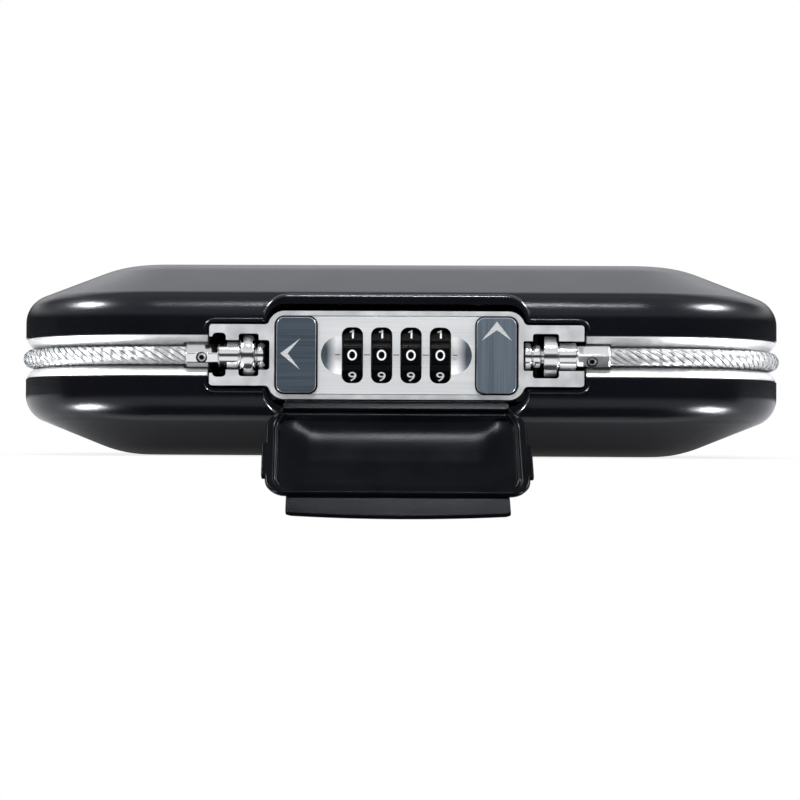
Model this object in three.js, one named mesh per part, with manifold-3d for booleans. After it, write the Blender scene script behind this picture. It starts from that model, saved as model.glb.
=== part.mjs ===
// Portable car safe: two flat shells hinged at the back, silver channel frames that hold the tether
// cable round the seam, and a four-dial combination lock at the front under a rubber cover.
// Millimetres, +Z up, -Y is the lock side. The origin is the middle of the flat underside.

import * as THREE from 'three';
import { mergeVertices } from 'three/addons/utils/BufferGeometryUtils.js';
import Module from 'manifold-3d';

const wasm = await Module();
wasm.setup();

// Driving dimensions
const degree = Math.PI / 180;
const caseWidth = 242;
const caseDepth = 172;
const halfHeight = 30.5;
const wall = 2.5;
const crownDrop = 12.9;
const shoulderHeight = halfHeight - crownDrop;
const shoulderRadius = 9;
const crownRadius = 40;
const crownSlope = 22 * degree;
const shellEdge = 6.5;
const straightShare = 0.45;
const straightSide = straightShare * (shoulderHeight - shellEdge);
const shoulderFit = Math.min(shoulderRadius,
  (shoulderHeight - shellEdge - straightSide) * Math.tan(Math.PI / 4 + crownSlope / 2));
const seat = 0.3;
const running = 0.3;
const overrun = 2;
const cableRadius = 3;
const cableInset = 2.2;
const plasticHole = 1.5;

const cornerSteps = 8;
const shoulderSteps = 5;
const crownSteps = 3;
const innerArcs = [3, 1];
const foamArcs = [2, 1];
const foamCornerSteps = 5;
const roundSides = 12;
const smallSides = 8;
const collarSides = 20;
const hexSides = 6;
const sides = [-1, 1];
const halfWidth = caseWidth / 2;
const halfDepth = caseDepth / 2;
const cableLine = -(halfDepth - cableInset);
const dimpleSides = 20;

// Finishes
const finish = {
  shell: { color: 0x1b1c20, roughness: 0.45, metalness: 0 },
  frame: { color: 0xb9bbbd, roughness: 0.3, metalness: 0.9 },
  cast: { color: 0x9b9da0, roughness: 0.42, metalness: 0.9 },
  brushed: { color: 0xb4b6b8, roughness: 0.35, metalness: 0.9 },
  chrome: { color: 0xd0d2d4, roughness: 0.12, metalness: 1 },
  steel: { color: 0x8f9296, roughness: 0.35, metalness: 0.9 },
  cap: { color: 0x5f6c78, roughness: 0.35, metalness: 0.8 },
  dial: { color: 0x141416, roughness: 0.35, metalness: 0 },
  rubber: { color: 0x101113, roughness: 0.6, metalness: 0 },
  foam: { color: 0x26272a, roughness: 0.95, metalness: 0 },
  cable: { color: 0xa8abae, roughness: 0.25, metalness: 0.7 },
};

// Solids
function toSolid(geometry) {
  const bare = geometry.clone();
  bare.deleteAttribute('normal');
  bare.deleteAttribute('uv');
  const merged = mergeVertices(bare);
  return new wasm.Manifold(new wasm.Mesh({
    numProp: 3,
    vertProperties: new Float32Array(merged.attributes.position.array),
    triVerts: new Uint32Array(merged.index.array),
  }));
}

function toGeometry(solid) {
  const mesh = solid.getMesh();
  const geometry = new THREE.BufferGeometry();
  geometry.setAttribute('position', new THREE.BufferAttribute(new Float32Array(mesh.vertProperties), 3));
  geometry.setIndex(new THREE.BufferAttribute(new Uint32Array(mesh.triVerts), 1));
  geometry.computeVertexNormals();
  return geometry;
}

const join = (...geometries) => toGeometry(geometries.map(toSolid).reduce((sum, solid) => sum.add(solid)));

const cut = (geometry, ...tools) => toGeometry(
  tools.map(toSolid).reduce((rest, tool) => rest.subtract(tool), toSolid(geometry)),
);

const keep = (geometry, tool) => toGeometry(toSolid(geometry).intersect(toSolid(tool)));

// Closes a list of point rings into one solid, as a ring that meets itself or with a fan at each end.
function loft(rings, meetsItself = false) {
  const count = rings[0].length;
  const points = rings.flat();
  const index = [];
  const links = meetsItself ? rings.length : rings.length - 1;
  for (let r = 0; r < links; r += 1) {
    const here = r * count;
    const there = ((r + 1) % rings.length) * count;
    for (let p = 0; p < count; p += 1) {
      const q = (p + 1) % count;
      index.push(here + p, here + q, there + q, here + p, there + q, there + p);
    }
  }
  if (!meetsItself) {
    const last = (rings.length - 1) * count;
    for (let p = 1; p < count - 1; p += 1) {
      index.push(0, p + 1, p, last, last + p, last + p + 1);
    }
  }
  let volume = 0;
  for (let i = 0; i < index.length; i += 3) {
    const [a, b, c] = [points[index[i]], points[index[i + 1]], points[index[i + 2]]];
    volume += a.dot(b.clone().cross(c));
  }
  if (volume < 0) index.reverse();
  const geometry = new THREE.BufferGeometry().setFromPoints(points);
  geometry.setIndex(index);
  geometry.computeVertexNormals();
  return geometry;
}

function box(x, y, z) {
  return new THREE.BoxGeometry(x[1] - x[0], y[1] - y[0], z[1] - z[0])
    .translate((x[0] + x[1]) / 2, (y[0] + y[1]) / 2, (z[0] + z[1]) / 2);
}

const around = (middle, half) => [middle - half, middle + half];

function rod(axis, radius, span, a = 0, b = 0, count = roundSides) {
  const geometry = new THREE.CylinderGeometry(radius, radius, span[1] - span[0], count);
  const middle = (span[0] + span[1]) / 2;
  if (axis === 'x') return geometry.rotateZ(Math.PI / 2).translate(middle, a, b);
  if (axis === 'z') return geometry.rotateX(Math.PI / 2).translate(a, b, middle);
  return geometry.translate(a, middle, b);
}

// A flat shape drawn in X and Z, as thick as y says; a bevel stays inside the shape and y.
function plate(shape, y, bevel = 0, steps = 3) {
  return new THREE.ExtrudeGeometry(shape, {
    depth: y[1] - y[0] - 2 * bevel,
    bevelEnabled: bevel > 0,
    bevelThickness: bevel,
    bevelSize: bevel,
    bevelOffset: -bevel,
    bevelSegments: 1,
    curveSegments: steps,
  }).rotateX(Math.PI / 2).translate(0, y[1] - bevel, 0);
}

function roundedShape(x, z, radius, Kind = THREE.Shape) {
  const shape = new Kind();
  shape.moveTo(x[0] + radius, z[0]);
  shape.lineTo(x[1] - radius, z[0]);
  shape.absarc(x[1] - radius, z[0] + radius, radius, -Math.PI / 2, 0);
  shape.lineTo(x[1], z[1] - radius);
  shape.absarc(x[1] - radius, z[1] - radius, radius, 0, Math.PI / 2);
  shape.lineTo(x[0] + radius, z[1]);
  shape.absarc(x[0] + radius, z[1] - radius, radius, Math.PI / 2, Math.PI);
  shape.lineTo(x[0], z[0] + radius);
  shape.absarc(x[0] + radius, z[0] + radius, radius, Math.PI, 1.5 * Math.PI);
  return shape;
}

const roundedPlate = (x, z, radius, y, bevel) => plate(roundedShape(x, z, radius), y, bevel);

// A slot with round ends between two points of the X-Z plane.
function slotTool(from, to, radius, y) {
  const turn = Math.atan2(to[1] - from[1], to[0] - from[0]);
  const shape = new THREE.Shape();
  shape.absarc(from[0], from[1], radius, turn + Math.PI / 2, turn + 1.5 * Math.PI);
  shape.absarc(to[0], to[1], radius, turn - Math.PI / 2, turn + Math.PI / 2);
  return plate(shape, y);
}

// A profile in Y and Z drawn out along X.
function bar(points, x) {
  const shape = new THREE.Shape(points.map(([y, z]) => new THREE.Vector2(y, z)));
  return new THREE.ExtrudeGeometry(shape, { depth: x[1] - x[0], bevelEnabled: false })
    .rotateX(Math.PI / 2).rotateZ(Math.PI / 2).translate(x[0], 0, 0);
}

// A pan-head screw whose head lies under its shank; its axis is Z and its seat face is at 0.
const screwSize = { head: 2, headHeight: 1.2, shank: 1.2 };

function screw(length) {
  const s = screwSize;
  const outline = [
    [0, -s.headHeight], [s.head, -s.headHeight], [s.head, 0], [s.shank, 0], [s.shank, length], [0, length],
  ].map(([r, z]) => new THREE.Vector2(r, z));
  return new THREE.LatheGeometry(outline, smallSides).rotateX(Math.PI / 2);
}

// The assembly: everything hangs in a group whose zero height is the seam.
const safe = new THREE.Group();
const seam = new THREE.Group();
seam.position.z = halfHeight;
safe.add(seam);

function piece(name, geometry, look, parent = seam) {
  const mesh = new THREE.Mesh(geometry, new THREE.MeshStandardMaterial(finish[look]));
  mesh.name = name;
  parent.add(mesh);
  return mesh;
}

// Lock front: from the dials outwards, the sizes that the shells, the housing and the cover share
const dial = { radius: 10.9, notch: 0.7, width: 5.8, pitch: 8.8, behind: 9.9, cam: 4.7, bore: 2.3, count: 4 };
const dialFace = {
  margin: 6, gap: 0.35, radius: 1.5, drop: 0.2, dimple: 5.7, dimpleInset: 6.6, dip: 0.5,
};
dialFace.halfWidth = (dial.count * dial.pitch) / 2 + dialFace.margin;
dialFace.dimpleX = dialFace.halfWidth - dialFace.dimpleInset;
const button = {
  width: 11.9, height: 22.7, radius: 2.4, bevel: 0.5, thickness: 1.3, travel: 3, inner: 0.45, outer: 0.75, over: 0.5,
};
button.x = dialFace.halfWidth + button.inner + button.width / 2;
const tray = { rim: 1.9, rimTop: 1.4, radius: 3, depth: 1.7 };
tray.halfWidth = button.x + button.width / 2 + button.outer;
tray.halfHeight = button.height / 2 + button.over;
const lock = { radius: 5, bevel: 0.6, proud: 4, depth: 26 };
lock.halfWidth = tray.halfWidth + tray.rim;
lock.halfHeight = tray.halfHeight + tray.rimTop;
lock.front = -halfDepth - lock.proud;
lock.back = lock.front + lock.depth;
const lockGap = 0.5;
const lockRise = 2.15;
const lockCutHeight = lock.halfHeight + lockRise;
const ear = { width: 17.7, drop: 4.05, radius: 1.6, bevel: 0.5, setBack: 1.5, depth: 12.5, blend: 3, notch: 4.8 };
ear.reach = lock.halfWidth + ear.width;
ear.halfHeight = lock.halfHeight - ear.drop;
ear.front = lock.front + ear.setBack;
ear.back = ear.front + ear.depth;
const earGap = 0.9;
// Where the cable plugs lie along X, measured from the middle
const plugReach = { end: 8, tip: 1 };

function plugSpans(lengths) {
  const end = ear.reach + plugReach.end;
  const hex = end - lengths.hex;
  const neckEnd = hex - lengths.neck;
  const collar = neckEnd - lengths.collar;
  return {
    hex: [hex, end], neck: [neckEnd, hex], collar: [collar, neckEnd], tip: [lock.halfWidth + plugReach.tip, collar],
  };
}

const plugLeftLength = { hex: 11, neck: 6, collar: 4.9 };
const plugRightLength = { hex: 9.9, neck: 5.7, collar: 4.6 };
const plugLeft = plugSpans(plugLeftLength);
const plugRight = plugSpans(plugRightLength);
const plugRadius = { hex: 3.6, neck: 4.2, collar: 6.2, tip: 3.9 };
const pocketGap = 0.4;
const cableStart = plugLeft.hex[1] + seat;
const cableLead = 8.4;
const cornerRadius = halfWidth - cableStart - cableLead;

// Raised rims of the shells, and what is cut or hung behind the lock
const hood = { sideRim: 1.2, topRim: 3, radius: 7.5, proud: 0.3, depth: 8, bevel: 1 };
hood.halfWidth = lock.halfWidth + lockGap + hood.sideRim;
hood.halfHeight = lockCutHeight + hood.topRim;
hood.front = lock.front - hood.proud;
hood.root = hood.front + hood.depth;
const earRim = { width: 1.2, proud: 1.2, depth: 3.6 };
earRim.front = -halfDepth - earRim.proud;
earRim.root = earRim.front + earRim.depth;
const notch = { margin: 7.7, behind: 14 };
notch.halfWidth = hood.halfWidth + notch.margin;
notch.back = lock.back + notch.behind;
const lugs = { reach: 4, thickness: 3, postRadius: 3, hole: 6, inset: 0.4 };
lugs.x = lock.halfWidth + lugs.postRadius + lugs.inset + lugs.reach / 4;
lugs.y = lock.back - lugs.postRadius;
lugs.top = lugs.thickness - lock.halfHeight;
const strikeSeat = { x: 14, behind: 7, drop: 5.3, postRadius: 3 };
strikeSeat.y = lock.back + strikeSeat.behind;
strikeSeat.top = halfHeight - wall - strikeSeat.drop;

// Channel frames between the shells, and the hinges: their arms pass over the cable to an axis outside it
const frame = { lipInset: 0.3, edge: shellEdge - seat, split: seat / 2, wallInside: 3, tongue: 1.8 };
frame.groove = cableRadius + seat;
frame.inner = cableInset + frame.groove + frame.wallInside;
frame.tongueOuter = wall + seat;
frame.tongueInner = frame.tongueOuter + frame.tongue;
frame.tongueTop = shellEdge + straightSide;
// Steps round the cable's groove, as shares of a quarter turn
const grooveShares = [0.956, 0.722, 0.489, 0.256, 0.022];

const hinge = {
  x: 42, behind: 2, rise: 2.6, barrel: 3.5, pin: 1.5, bore: 1.8, knuckle: 9.6, arm: 2.8, leaf: 3,
  bridgeRise: 0.6, bridge: 3.3, slotGap: 0.6, wing: 7.4,
};
hinge.axisY = halfDepth + hinge.behind;
hinge.armBottom = cableRadius + seat + running;
hinge.armTop = hinge.armBottom + hinge.arm;
hinge.axisZ = hinge.armTop + hinge.rise;
hinge.leafBack = halfDepth - frame.inner - seat;
hinge.leafFront = hinge.leafBack - hinge.leaf;
hinge.lidBridge = hinge.axisZ + hinge.bridgeRise;
hinge.lidTop = hinge.lidBridge + hinge.bridge;
hinge.half = 1.5 * hinge.knuckle + running;
hinge.slot = hinge.half + hinge.slotGap;
const hingeScrews = { baseX: 10, height: 3.2, depth: 2 };

const foam = { thickness: 4, lift: 0.1 };
foam.outer = frame.tongueInner + seat;
foam.edge = shellEdge + foam.lift;

// Case outline: a level ring of the rounded case, drawn in by an inset
function caseRing(inset, height, steps = cornerSteps) {
  const points = [];
  const radius = cornerRadius - inset;
  const cx = halfWidth - cornerRadius;
  const cy = halfDepth - cornerRadius;
  const corners = [[cx, cy], [-cx, cy], [-cx, -cy], [cx, -cy]];
  corners.forEach(([x, y], corner) => {
    for (let step = 0; step <= steps; step += 1) {
      const angle = (corner + step / steps) * (Math.PI / 2);
      points.push(new THREE.Vector3(x + radius * Math.cos(angle), y + radius * Math.sin(angle), height));
    }
  });
  return points;
}

function roundCorner(before, corner, after, radius, steps) {
  const a = before.clone().sub(corner).normalize();
  const b = after.clone().sub(corner).normalize();
  const half = a.angleTo(b) / 2;
  const centre = corner.clone().addScaledVector(a.clone().add(b).normalize(), radius / Math.sin(half));
  const start = corner.clone().addScaledVector(a, radius / Math.tan(half)).sub(centre);
  const end = corner.clone().addScaledVector(b, radius / Math.tan(half)).sub(centre);
  const turn = Math.atan2(start.cross(end), start.dot(end));
  return Array.from({ length: steps + 1 }, (_, step) => (
    start.clone().rotateAround(new THREE.Vector2(), (turn * step) / steps).add(centre)
  ));
}

// Points (inset, height) up a wall: straight side, rounded shoulder, sloping crown, rounded top.
function wallOutline(sideOffset, topOffset, edge, arcs = [shoulderSteps, crownSteps]) {
  const rise = Math.tan(crownSlope);
  const drop = topOffset / Math.cos(crownSlope);
  const foot = new THREE.Vector2(sideOffset, edge);
  const shoulder = new THREE.Vector2(sideOffset, shoulderHeight + sideOffset * rise - drop);
  const top = halfHeight - topOffset;
  const crown = new THREE.Vector2((top - shoulderHeight + drop) / rise, top);
  const middle = new THREE.Vector2(halfDepth, top);
  return [
    foot,
    ...roundCorner(foot, shoulder, crown, shoulderFit - topOffset, arcs[0]),
    ...roundCorner(shoulder, crown, middle, crownRadius - topOffset, arcs[1]),
  ];
}

function cup(outer, inner, side, steps) {
  return loft([...outer.reverse(), ...inner].map((p) => caseRing(p.x, side * p.y, steps)));
}

const frontCut = (halfX, halfZ, radius, back = lock.back) => (
  roundedPlate(around(0, halfX), around(0, halfZ), radius, [hood.front - overrun, back])
);

function hingeSpan(side, half) {
  return around(side * hinge.x, half);
}

function shell(side) {
  const outer = wallOutline(0, 0, shellEdge);
  const inner = wallOutline(wall, wall, shellEdge, innerArcs);
  const half = box(around(0, caseWidth), around(0, caseDepth), side > 0
    ? [shellEdge, caseWidth] : [-caseWidth, -shellEdge]);
  const rise = keep(join(
    roundedPlate(around(0, hood.halfWidth), around(0, hood.halfHeight), hood.radius,
      [hood.front, hood.root], hood.bevel),
    roundedPlate(around(0, ear.reach + earGap + earRim.width), around(0, ear.halfHeight + earGap + earRim.width),
      ear.radius + earGap + earRim.width, [earRim.front, earRim.root]),
  ), half);
  const posts = side < 0
    ? sides.map((s) => rod('z', lugs.postRadius, [-halfHeight + wall / 2, lugs.top - lugs.thickness - seat],
      s * lugs.x, lugs.y))
    : sides.map((s) => rod('z', strikeSeat.postRadius, [strikeSeat.top + seat, halfHeight - wall / 2],
      s * strikeSeat.x, strikeSeat.y));
  const hull = keep(loft([...wallOutline(wall / 2, wall / 2, shellEdge)].reverse()
    .concat([new THREE.Vector2(wall / 2, 0)]).map((p) => caseRing(p.x, side * p.y))), join(...posts));
  const cuts = [
    frontCut(lock.halfWidth + lockGap, lockCutHeight, lock.radius + lockGap, -halfDepth + shoulderRadius),
    frontCut(ear.reach + earGap, ear.halfHeight + earGap, ear.radius + earGap, -halfDepth + shoulderRadius),
    ...sides.map((s) => concaveBlend(s, side, [hood.front - overrun, -halfDepth + shoulderRadius], lockGap)),
  ];
  if (side > 0) {
    sides.forEach((s) => {
      cuts.push(box(hingeSpan(s, hinge.slot), [halfDepth - wall - overrun, halfDepth + overrun],
        [shellEdge - overrun, hinge.lidTop + running]));
      cuts.push(rod('z', plasticHole, [strikeSeat.top, strikeSeat.top + hingeScrews.depth + overrun],
        s * strikeSeat.x, strikeSeat.y, smallSides));
    });
  } else {
    sides.forEach((s) => cuts.push(rod('z', plasticHole, [lugs.top - lugs.thickness - lugs.hole,
      lugs.top - lugs.thickness], s * lugs.x, lugs.y, smallSides)));
  }
  return cut(join(cup(outer, inner, side), rise, hull), ...cuts);
}

function channelFrame(side) {
  const groove = grooveShares.map((share) => {
    const angle = (share * Math.PI) / 2;
    return [cableInset + frame.groove * Math.cos(angle), Math.max(frame.groove * Math.sin(angle), frame.split)];
  });
  const outline = [
    [frame.lipInset, frame.edge], ...groove, [frame.inner, frame.split], [frame.inner, frame.edge],
    [frame.tongueInner, frame.edge], [frame.tongueInner, frame.tongueTop],
    [frame.tongueOuter, frame.tongueTop], [frame.tongueOuter, frame.edge],
  ];
  const ring = loft(outline.map(([inset, height]) => caseRing(inset, side * height)), true);
  const cuts = [
    box(around(0, ear.reach + earGap), [-halfDepth - overrun, notch.back], around(0, halfHeight)),
    ...sides.map((s) => rod('x', plugRadius.hex + pocketGap,
      [s * cableStart, s * ear.reach].sort((a, b) => a - b), cableLine)),
  ];
  sides.forEach((s) => sides.forEach((t) => {
    const x = s * hinge.x + t * (side > 0 ? hinge.slot + hinge.wing / 2 : hingeScrews.baseX);
    cuts.push(rod('y', plasticHole, [hinge.leafBack, hinge.leafBack + seat + hingeScrews.depth],
      x, side * hingeScrews.height, smallSides));
  }));
  if (side > 0) {
    const deep = [halfDepth - frame.inner - overrun, halfDepth + overrun];
    sides.forEach((s) => cuts.push(
      box(hingeSpan(s, hinge.slot), deep, [-overrun, hinge.armTop + running]),
      box(hingeSpan(s, hinge.knuckle / 2 + running), deep, [hinge.lidBridge - running, halfHeight]),
    ));
  }
  return cut(ring, ...cuts);
}

function foamLiner(side) {
  const outer = wallOutline(foam.outer, wall + 2 * seat, foam.edge, foamArcs);
  const inner = wallOutline(foam.outer + foam.thickness, wall + seat + foam.thickness, foam.edge, foamArcs);
  const cuts = [
    box(around(0, ear.reach + earGap), [-halfDepth, ear.back + running], around(0, ear.halfHeight + earGap)),
    box(around(0, notch.halfWidth), [-halfDepth, notch.back], around(0, halfHeight)),
    ...sides.map((s) => box(hingeSpan(s, hinge.slot + hinge.wing + running),
      [hinge.leafFront - running, halfDepth], around(0, hinge.lidTop + running))),
  ];
  return cut(cup(outer, inner, side, foamCornerSteps), ...cuts);
}

// The tether cable lies in the groove, from the left plug round the back to the right one.
function tetherCable() {
  const ring = caseRing(cableInset, 0);
  const middle = ring.length / 2;
  const far = [...ring.slice(middle, middle + cornerSteps + 1)];
  const path = [
    new THREE.Vector3(-cableStart, cableLine, 0),
    ...far.reverse(),
    ...ring.slice(cornerSteps + 1, middle).reverse(),
    ...ring.slice(0, cornerSteps + 1).reverse(),
    ...ring.slice(middle + cornerSteps + 1).reverse(),
    new THREE.Vector3(cableStart, cableLine, 0),
  ];
  const up = new THREE.Vector3(0, 0, 1);
  const rings = path.map((point, i) => {
    const before = path[Math.max(i - 1, 0)];
    const after = path[Math.min(i + 1, path.length - 1)];
    const across = after.clone().sub(before).normalize().cross(up);
    return Array.from({ length: smallSides }, (_, side) => {
      const angle = (side / smallSides) * 2 * Math.PI;
      return point.clone()
        .addScaledVector(across, cableRadius * Math.cos(angle))
        .addScaledVector(up, cableRadius * Math.sin(angle));
    });
  });
  return loft(rings);
}

// Lock housing: a cast block with ears that cradle the cable plugs
dial.axisY = lock.front + dial.behind;
tray.floor = lock.front + tray.depth;
const bay = { floor: 3, roof: 0.55, margin: 1.4, wall: 1.6, inset: 0.1 };
bay.front = tray.floor + bay.floor;
bay.halfHeight = tray.halfHeight - bay.roof;
bay.dials = (dial.count * dial.pitch) / 2 + bay.margin;
bay.reach = tray.halfWidth - bay.inset;
const windowSize = { width: 6.4, height: 16.8, radius: 2.4 };
const axleRadius = dial.bore - running;
button.back = lock.front - running;
button.front = button.back - button.thickness;
const neck = { halfWidth: 2.5, halfHeight: 4 };
const play = 0.4;
const slider = { front: bay.front + play, thickness: 1.6 };
slider.back = slider.front + slider.thickness;
const boltPlace = { inset: 1.3, bite: 1, low: 3.4, travel: 2, radius: 1.2, thickness: 1.3 };
boltPlace.x = -plugLeft.tip[0] - boltPlace.inset;
boltPlace.top = running - plugRadius.tip + boltPlace.bite;
boltPlace.bottom = boltPlace.top - boltPlace.low;
boltPlace.armFront = slider.back + play;
boltPlace.armBack = boltPlace.armFront + boltPlace.thickness;
const boltArm = { length: 10.8, low: -7.2, high: -0.4, link: 1.3, shelf: 1.2 };
boltArm.reach = boltArm.length + running - bay.reach;
const anchor = { inset: 2.2, radius: 1, foot: 1 };
anchor.x = plugRight.tip[0] + anchor.inset;
anchor.reach = ear.halfHeight - anchor.foot;
const post = { size: 4, depth: 12 };
post.front = lock.back - post.depth;
const coverPlate = { front: lock.back + seat, thickness: 1.6, radius: 2 };
coverPlate.back = coverPlate.front + coverPlate.thickness;
const coverScrews = { x: bay.reach - post.size / 2, z: bay.halfHeight - post.size / 2, depth: 3 };
const dialPlaces = Array.from({ length: dial.count }, (_, i) => (i - (dial.count - 1) / 2) * dial.pitch);

// A pocket open to the front, with a round bed for a plug that lies along X.
function cradle(radius, span) {
  const deep = radius + pocketGap;
  return join(
    rod('x', deep, span, cableLine),
    box(span, [lock.front - overrun, cableLine], around(0, deep)),
  );
}

function earCuts(s, plug) {
  const along = (from, to) => [s * from, s * to].sort((a, b) => a - b);
  return [
    cradle(plugRadius.tip, along(plug.tip[0] - pocketGap, plug.collar[0])),
    cradle(plugRadius.collar, along(plug.collar[0] - pocketGap, plug.collar[1] + pocketGap)),
    cradle(plugRadius.neck, along(plug.collar[1], ear.reach + overrun)),
    cradle(plugRadius.collar, along(ear.reach - ear.notch, ear.reach + overrun)),
    ...sides.map((t) => box(along(ear.reach - ear.notch, ear.reach + overrun), [ear.front - overrun, ear.back + overrun],
      [t * plugRadius.neck, t * (plugRadius.collar + pocketGap)].sort((a, b) => a - b))),
  ];
}

// Fills the corner between the block and an ear; the shells are cut with it too, a gap further out.
function concaveBlend(s, t, y, gap = 0) {
  const shape = new THREE.Shape();
  const x = s * lock.halfWidth;
  const z = t * ear.halfHeight;
  const r = ear.blend;
  const steps = 4;
  shape.moveTo(x - s * r, z - t * r);
  shape.lineTo(x + s * r, z - t * r);
  for (let step = 0; step <= steps; step += 1) {
    const angle = (step / steps) * (Math.PI / 2);
    shape.lineTo(x + s * (r - (r - gap) * Math.sin(angle)), z + t * (r - (r - gap) * Math.cos(angle)));
  }
  shape.lineTo(x - s * r, z + t * r);
  return plate(shape, y);
}

function lockHousing() {
  const block = join(
    roundedPlate(around(0, lock.halfWidth), around(0, lock.halfHeight), lock.radius, [lock.front, lock.back],
      lock.bevel),
    roundedPlate(around(0, ear.reach), around(0, ear.halfHeight), ear.radius, [ear.front, ear.back], ear.bevel),
    ...sides.flatMap((s) => sides.map((t) => concaveBlend(s, t, [ear.front, ear.back]))),
    ...sides.map((s) => box([s * (lock.halfWidth - wall), s * (lugs.x + lugs.reach)].sort((a, b) => a - b),
      around(lugs.y, lugs.postRadius), [lugs.top - lugs.thickness, lugs.top])),
  );
  const dialBay = box(around(0, bay.dials), [bay.front, lock.back + overrun], around(0, bay.halfHeight));
  const sideBays = sides.map((s) => {
    const span = [s * (bay.dials + bay.wall), s * bay.reach].sort((a, b) => a - b);
    return cut(
      box(span, [bay.front, lock.back + overrun], around(0, bay.halfHeight)),
      ...sides.map((t) => box(around(s * coverScrews.x, post.size / 2), [post.front, lock.back + 2 * overrun],
        around(t * coverScrews.z, post.size / 2))),
    );
  });
  const clear = neck.halfHeight + running;
  const across = neck.halfWidth + running;
  const cuts = [
    roundedPlate(around(0, tray.halfWidth), around(0, tray.halfHeight), tray.radius,
      [lock.front - overrun, tray.floor]),
    dialBay,
    ...sideBays,
    ...dialPlaces.map((x) => box(around(x, windowSize.width / 2 + seat), [tray.floor - overrun, bay.front + overrun],
      around(0, dial.radius))),
    rod('x', dial.bore, around(0, bay.dials + bay.wall / 2), dial.axisY),
    box([-button.x - across - button.travel, -button.x + across], [tray.floor - overrun, bay.front + overrun],
      around(0, clear)),
    box(around(button.x, across), [tray.floor - overrun, bay.front + overrun], [-clear, clear + button.travel]),
    ...earCuts(-1, plugLeft),
    ...earCuts(1, plugRight),
    rod('z', boltPlace.radius + running, [boltPlace.bottom - boltPlace.travel - running, 0],
      boltPlace.x, cableLine, smallSides),
    box([boltPlace.x - boltPlace.radius - running, -bay.reach + overrun],
      [boltPlace.armFront - running, boltPlace.armBack + running],
      [boltPlace.bottom - boltPlace.travel - running, boltPlace.bottom + boltArm.link + running]),
    rod('z', anchor.radius + running, [-ear.halfHeight - overrun, anchor.reach + running],
      anchor.x, cableLine, smallSides),
    ...sides.flatMap((s) => sides.map((t) => rod('y', plasticHole, [lock.back - coverScrews.depth, lock.back + overrun],
      s * coverScrews.x, t * coverScrews.z, smallSides))),
    ...sides.map((s) => rod('z', plasticHole, [lugs.top - lugs.thickness - overrun, lugs.top + overrun],
      s * lugs.x, lugs.y, smallSides)),
  ];
  return cut(block, ...cuts);
}

// Brushed plate round the dials, with a thumb dimple at each end
function dialPlate() {
  const face = { ...dialFace, halfHeight: tray.halfHeight - dialFace.gap, front: lock.front + dialFace.drop };
  const shape = roundedShape(around(0, face.halfWidth), around(0, face.halfHeight), face.radius);
  dialPlaces.forEach((x) => shape.holes.push(roundedShape(around(x, windowSize.width / 2),
    around(0, windowSize.height / 2), windowSize.radius, THREE.Path)));
  const dimples = sides.map((s) => rod('y', face.dimple, [face.front - overrun, face.front + face.dip],
    s * face.dimpleX, 0, dimpleSides));
  return cut(plate(shape, [face.front, tray.floor - seat]), ...dimples);
}

// A code wheel with ten flat facets, a groove between each two and its cam on the right
function codeWheel() {
  const share = { flat: 0.33, groove: 0.5 };
  const facets = 10;
  const shape = new THREE.Shape();
  for (let i = 0; i < facets; i += 1) {
    const middle = ((i + 0.5) / facets) * 2 * Math.PI;
    const step = (2 * Math.PI) / facets;
    [[-share.flat, dial.radius], [share.flat, dial.radius], [share.groove, dial.radius - dial.notch]]
      .forEach(([part, radius], j) => {
        const angle = middle + part * step;
        const method = i + j === 0 ? 'moveTo' : 'lineTo';
        shape[method](radius * Math.cos(angle), radius * Math.sin(angle));
      });
  }
  const wheel = new THREE.ExtrudeGeometry(shape, { depth: dial.width, bevelEnabled: false })
    .translate(0, 0, -dial.width / 2).rotateY(Math.PI / 2);
  const cam = rod('x', dial.cam, [-dial.width / 2, dial.pitch - dial.width / 2 - running]);
  return cut(join(wheel, cam), rod('x', dial.bore, around(0, dial.pitch)));
}

function dialAxle() {
  return rod('x', axleRadius, around(0, bay.dials + bay.wall / 2 - running), dial.axisY);
}

// Sprung fingers that click each wheel into place, on one foot along the bottom of the bay
const comb = { footThickness: 1, footDepth: 6, finger: 0.6, fingerWidth: 4, tipDrop: 2.6 };

function detentComb() {
  const low = -bay.halfHeight + seat;
  const back = coverPlate.front - seat;
  const meet = dial.axisY + Math.sqrt((dial.radius + seat) ** 2 - comb.tipDrop ** 2);
  const finger = [[back - comb.finger, low], [back, low], [meet + comb.finger, -comb.tipDrop], [meet, -comb.tipDrop]];
  return join(
    box(around(0, bay.dials - seat), [back - comb.footDepth, back], [low, low + comb.footThickness]),
    ...dialPlaces.map((x) => bar(finger, around(x, comb.fingerWidth / 2))),
  );
}

// A toothed bar that meets the cams between the wheels
const fence = { height: 2.8, tooth: 1.6, thickness: 1.6 };

function fenceBar() {
  const front = dial.axisY + dial.radius + seat;
  const reach = dial.axisY + dial.cam + seat;
  const end = bay.dials - seat;
  return join(
    box(around(0, end), [front, front + fence.thickness], around(0, fence.height / 2)),
    ...dialPlaces.map((x) => {
      const middle = Math.min(x + dial.pitch / 2, end - fence.tooth / 2);
      return box(around(middle, fence.tooth / 2), [reach, front + fence.thickness / 2], around(0, fence.height / 2));
    }),
  );
}

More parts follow.
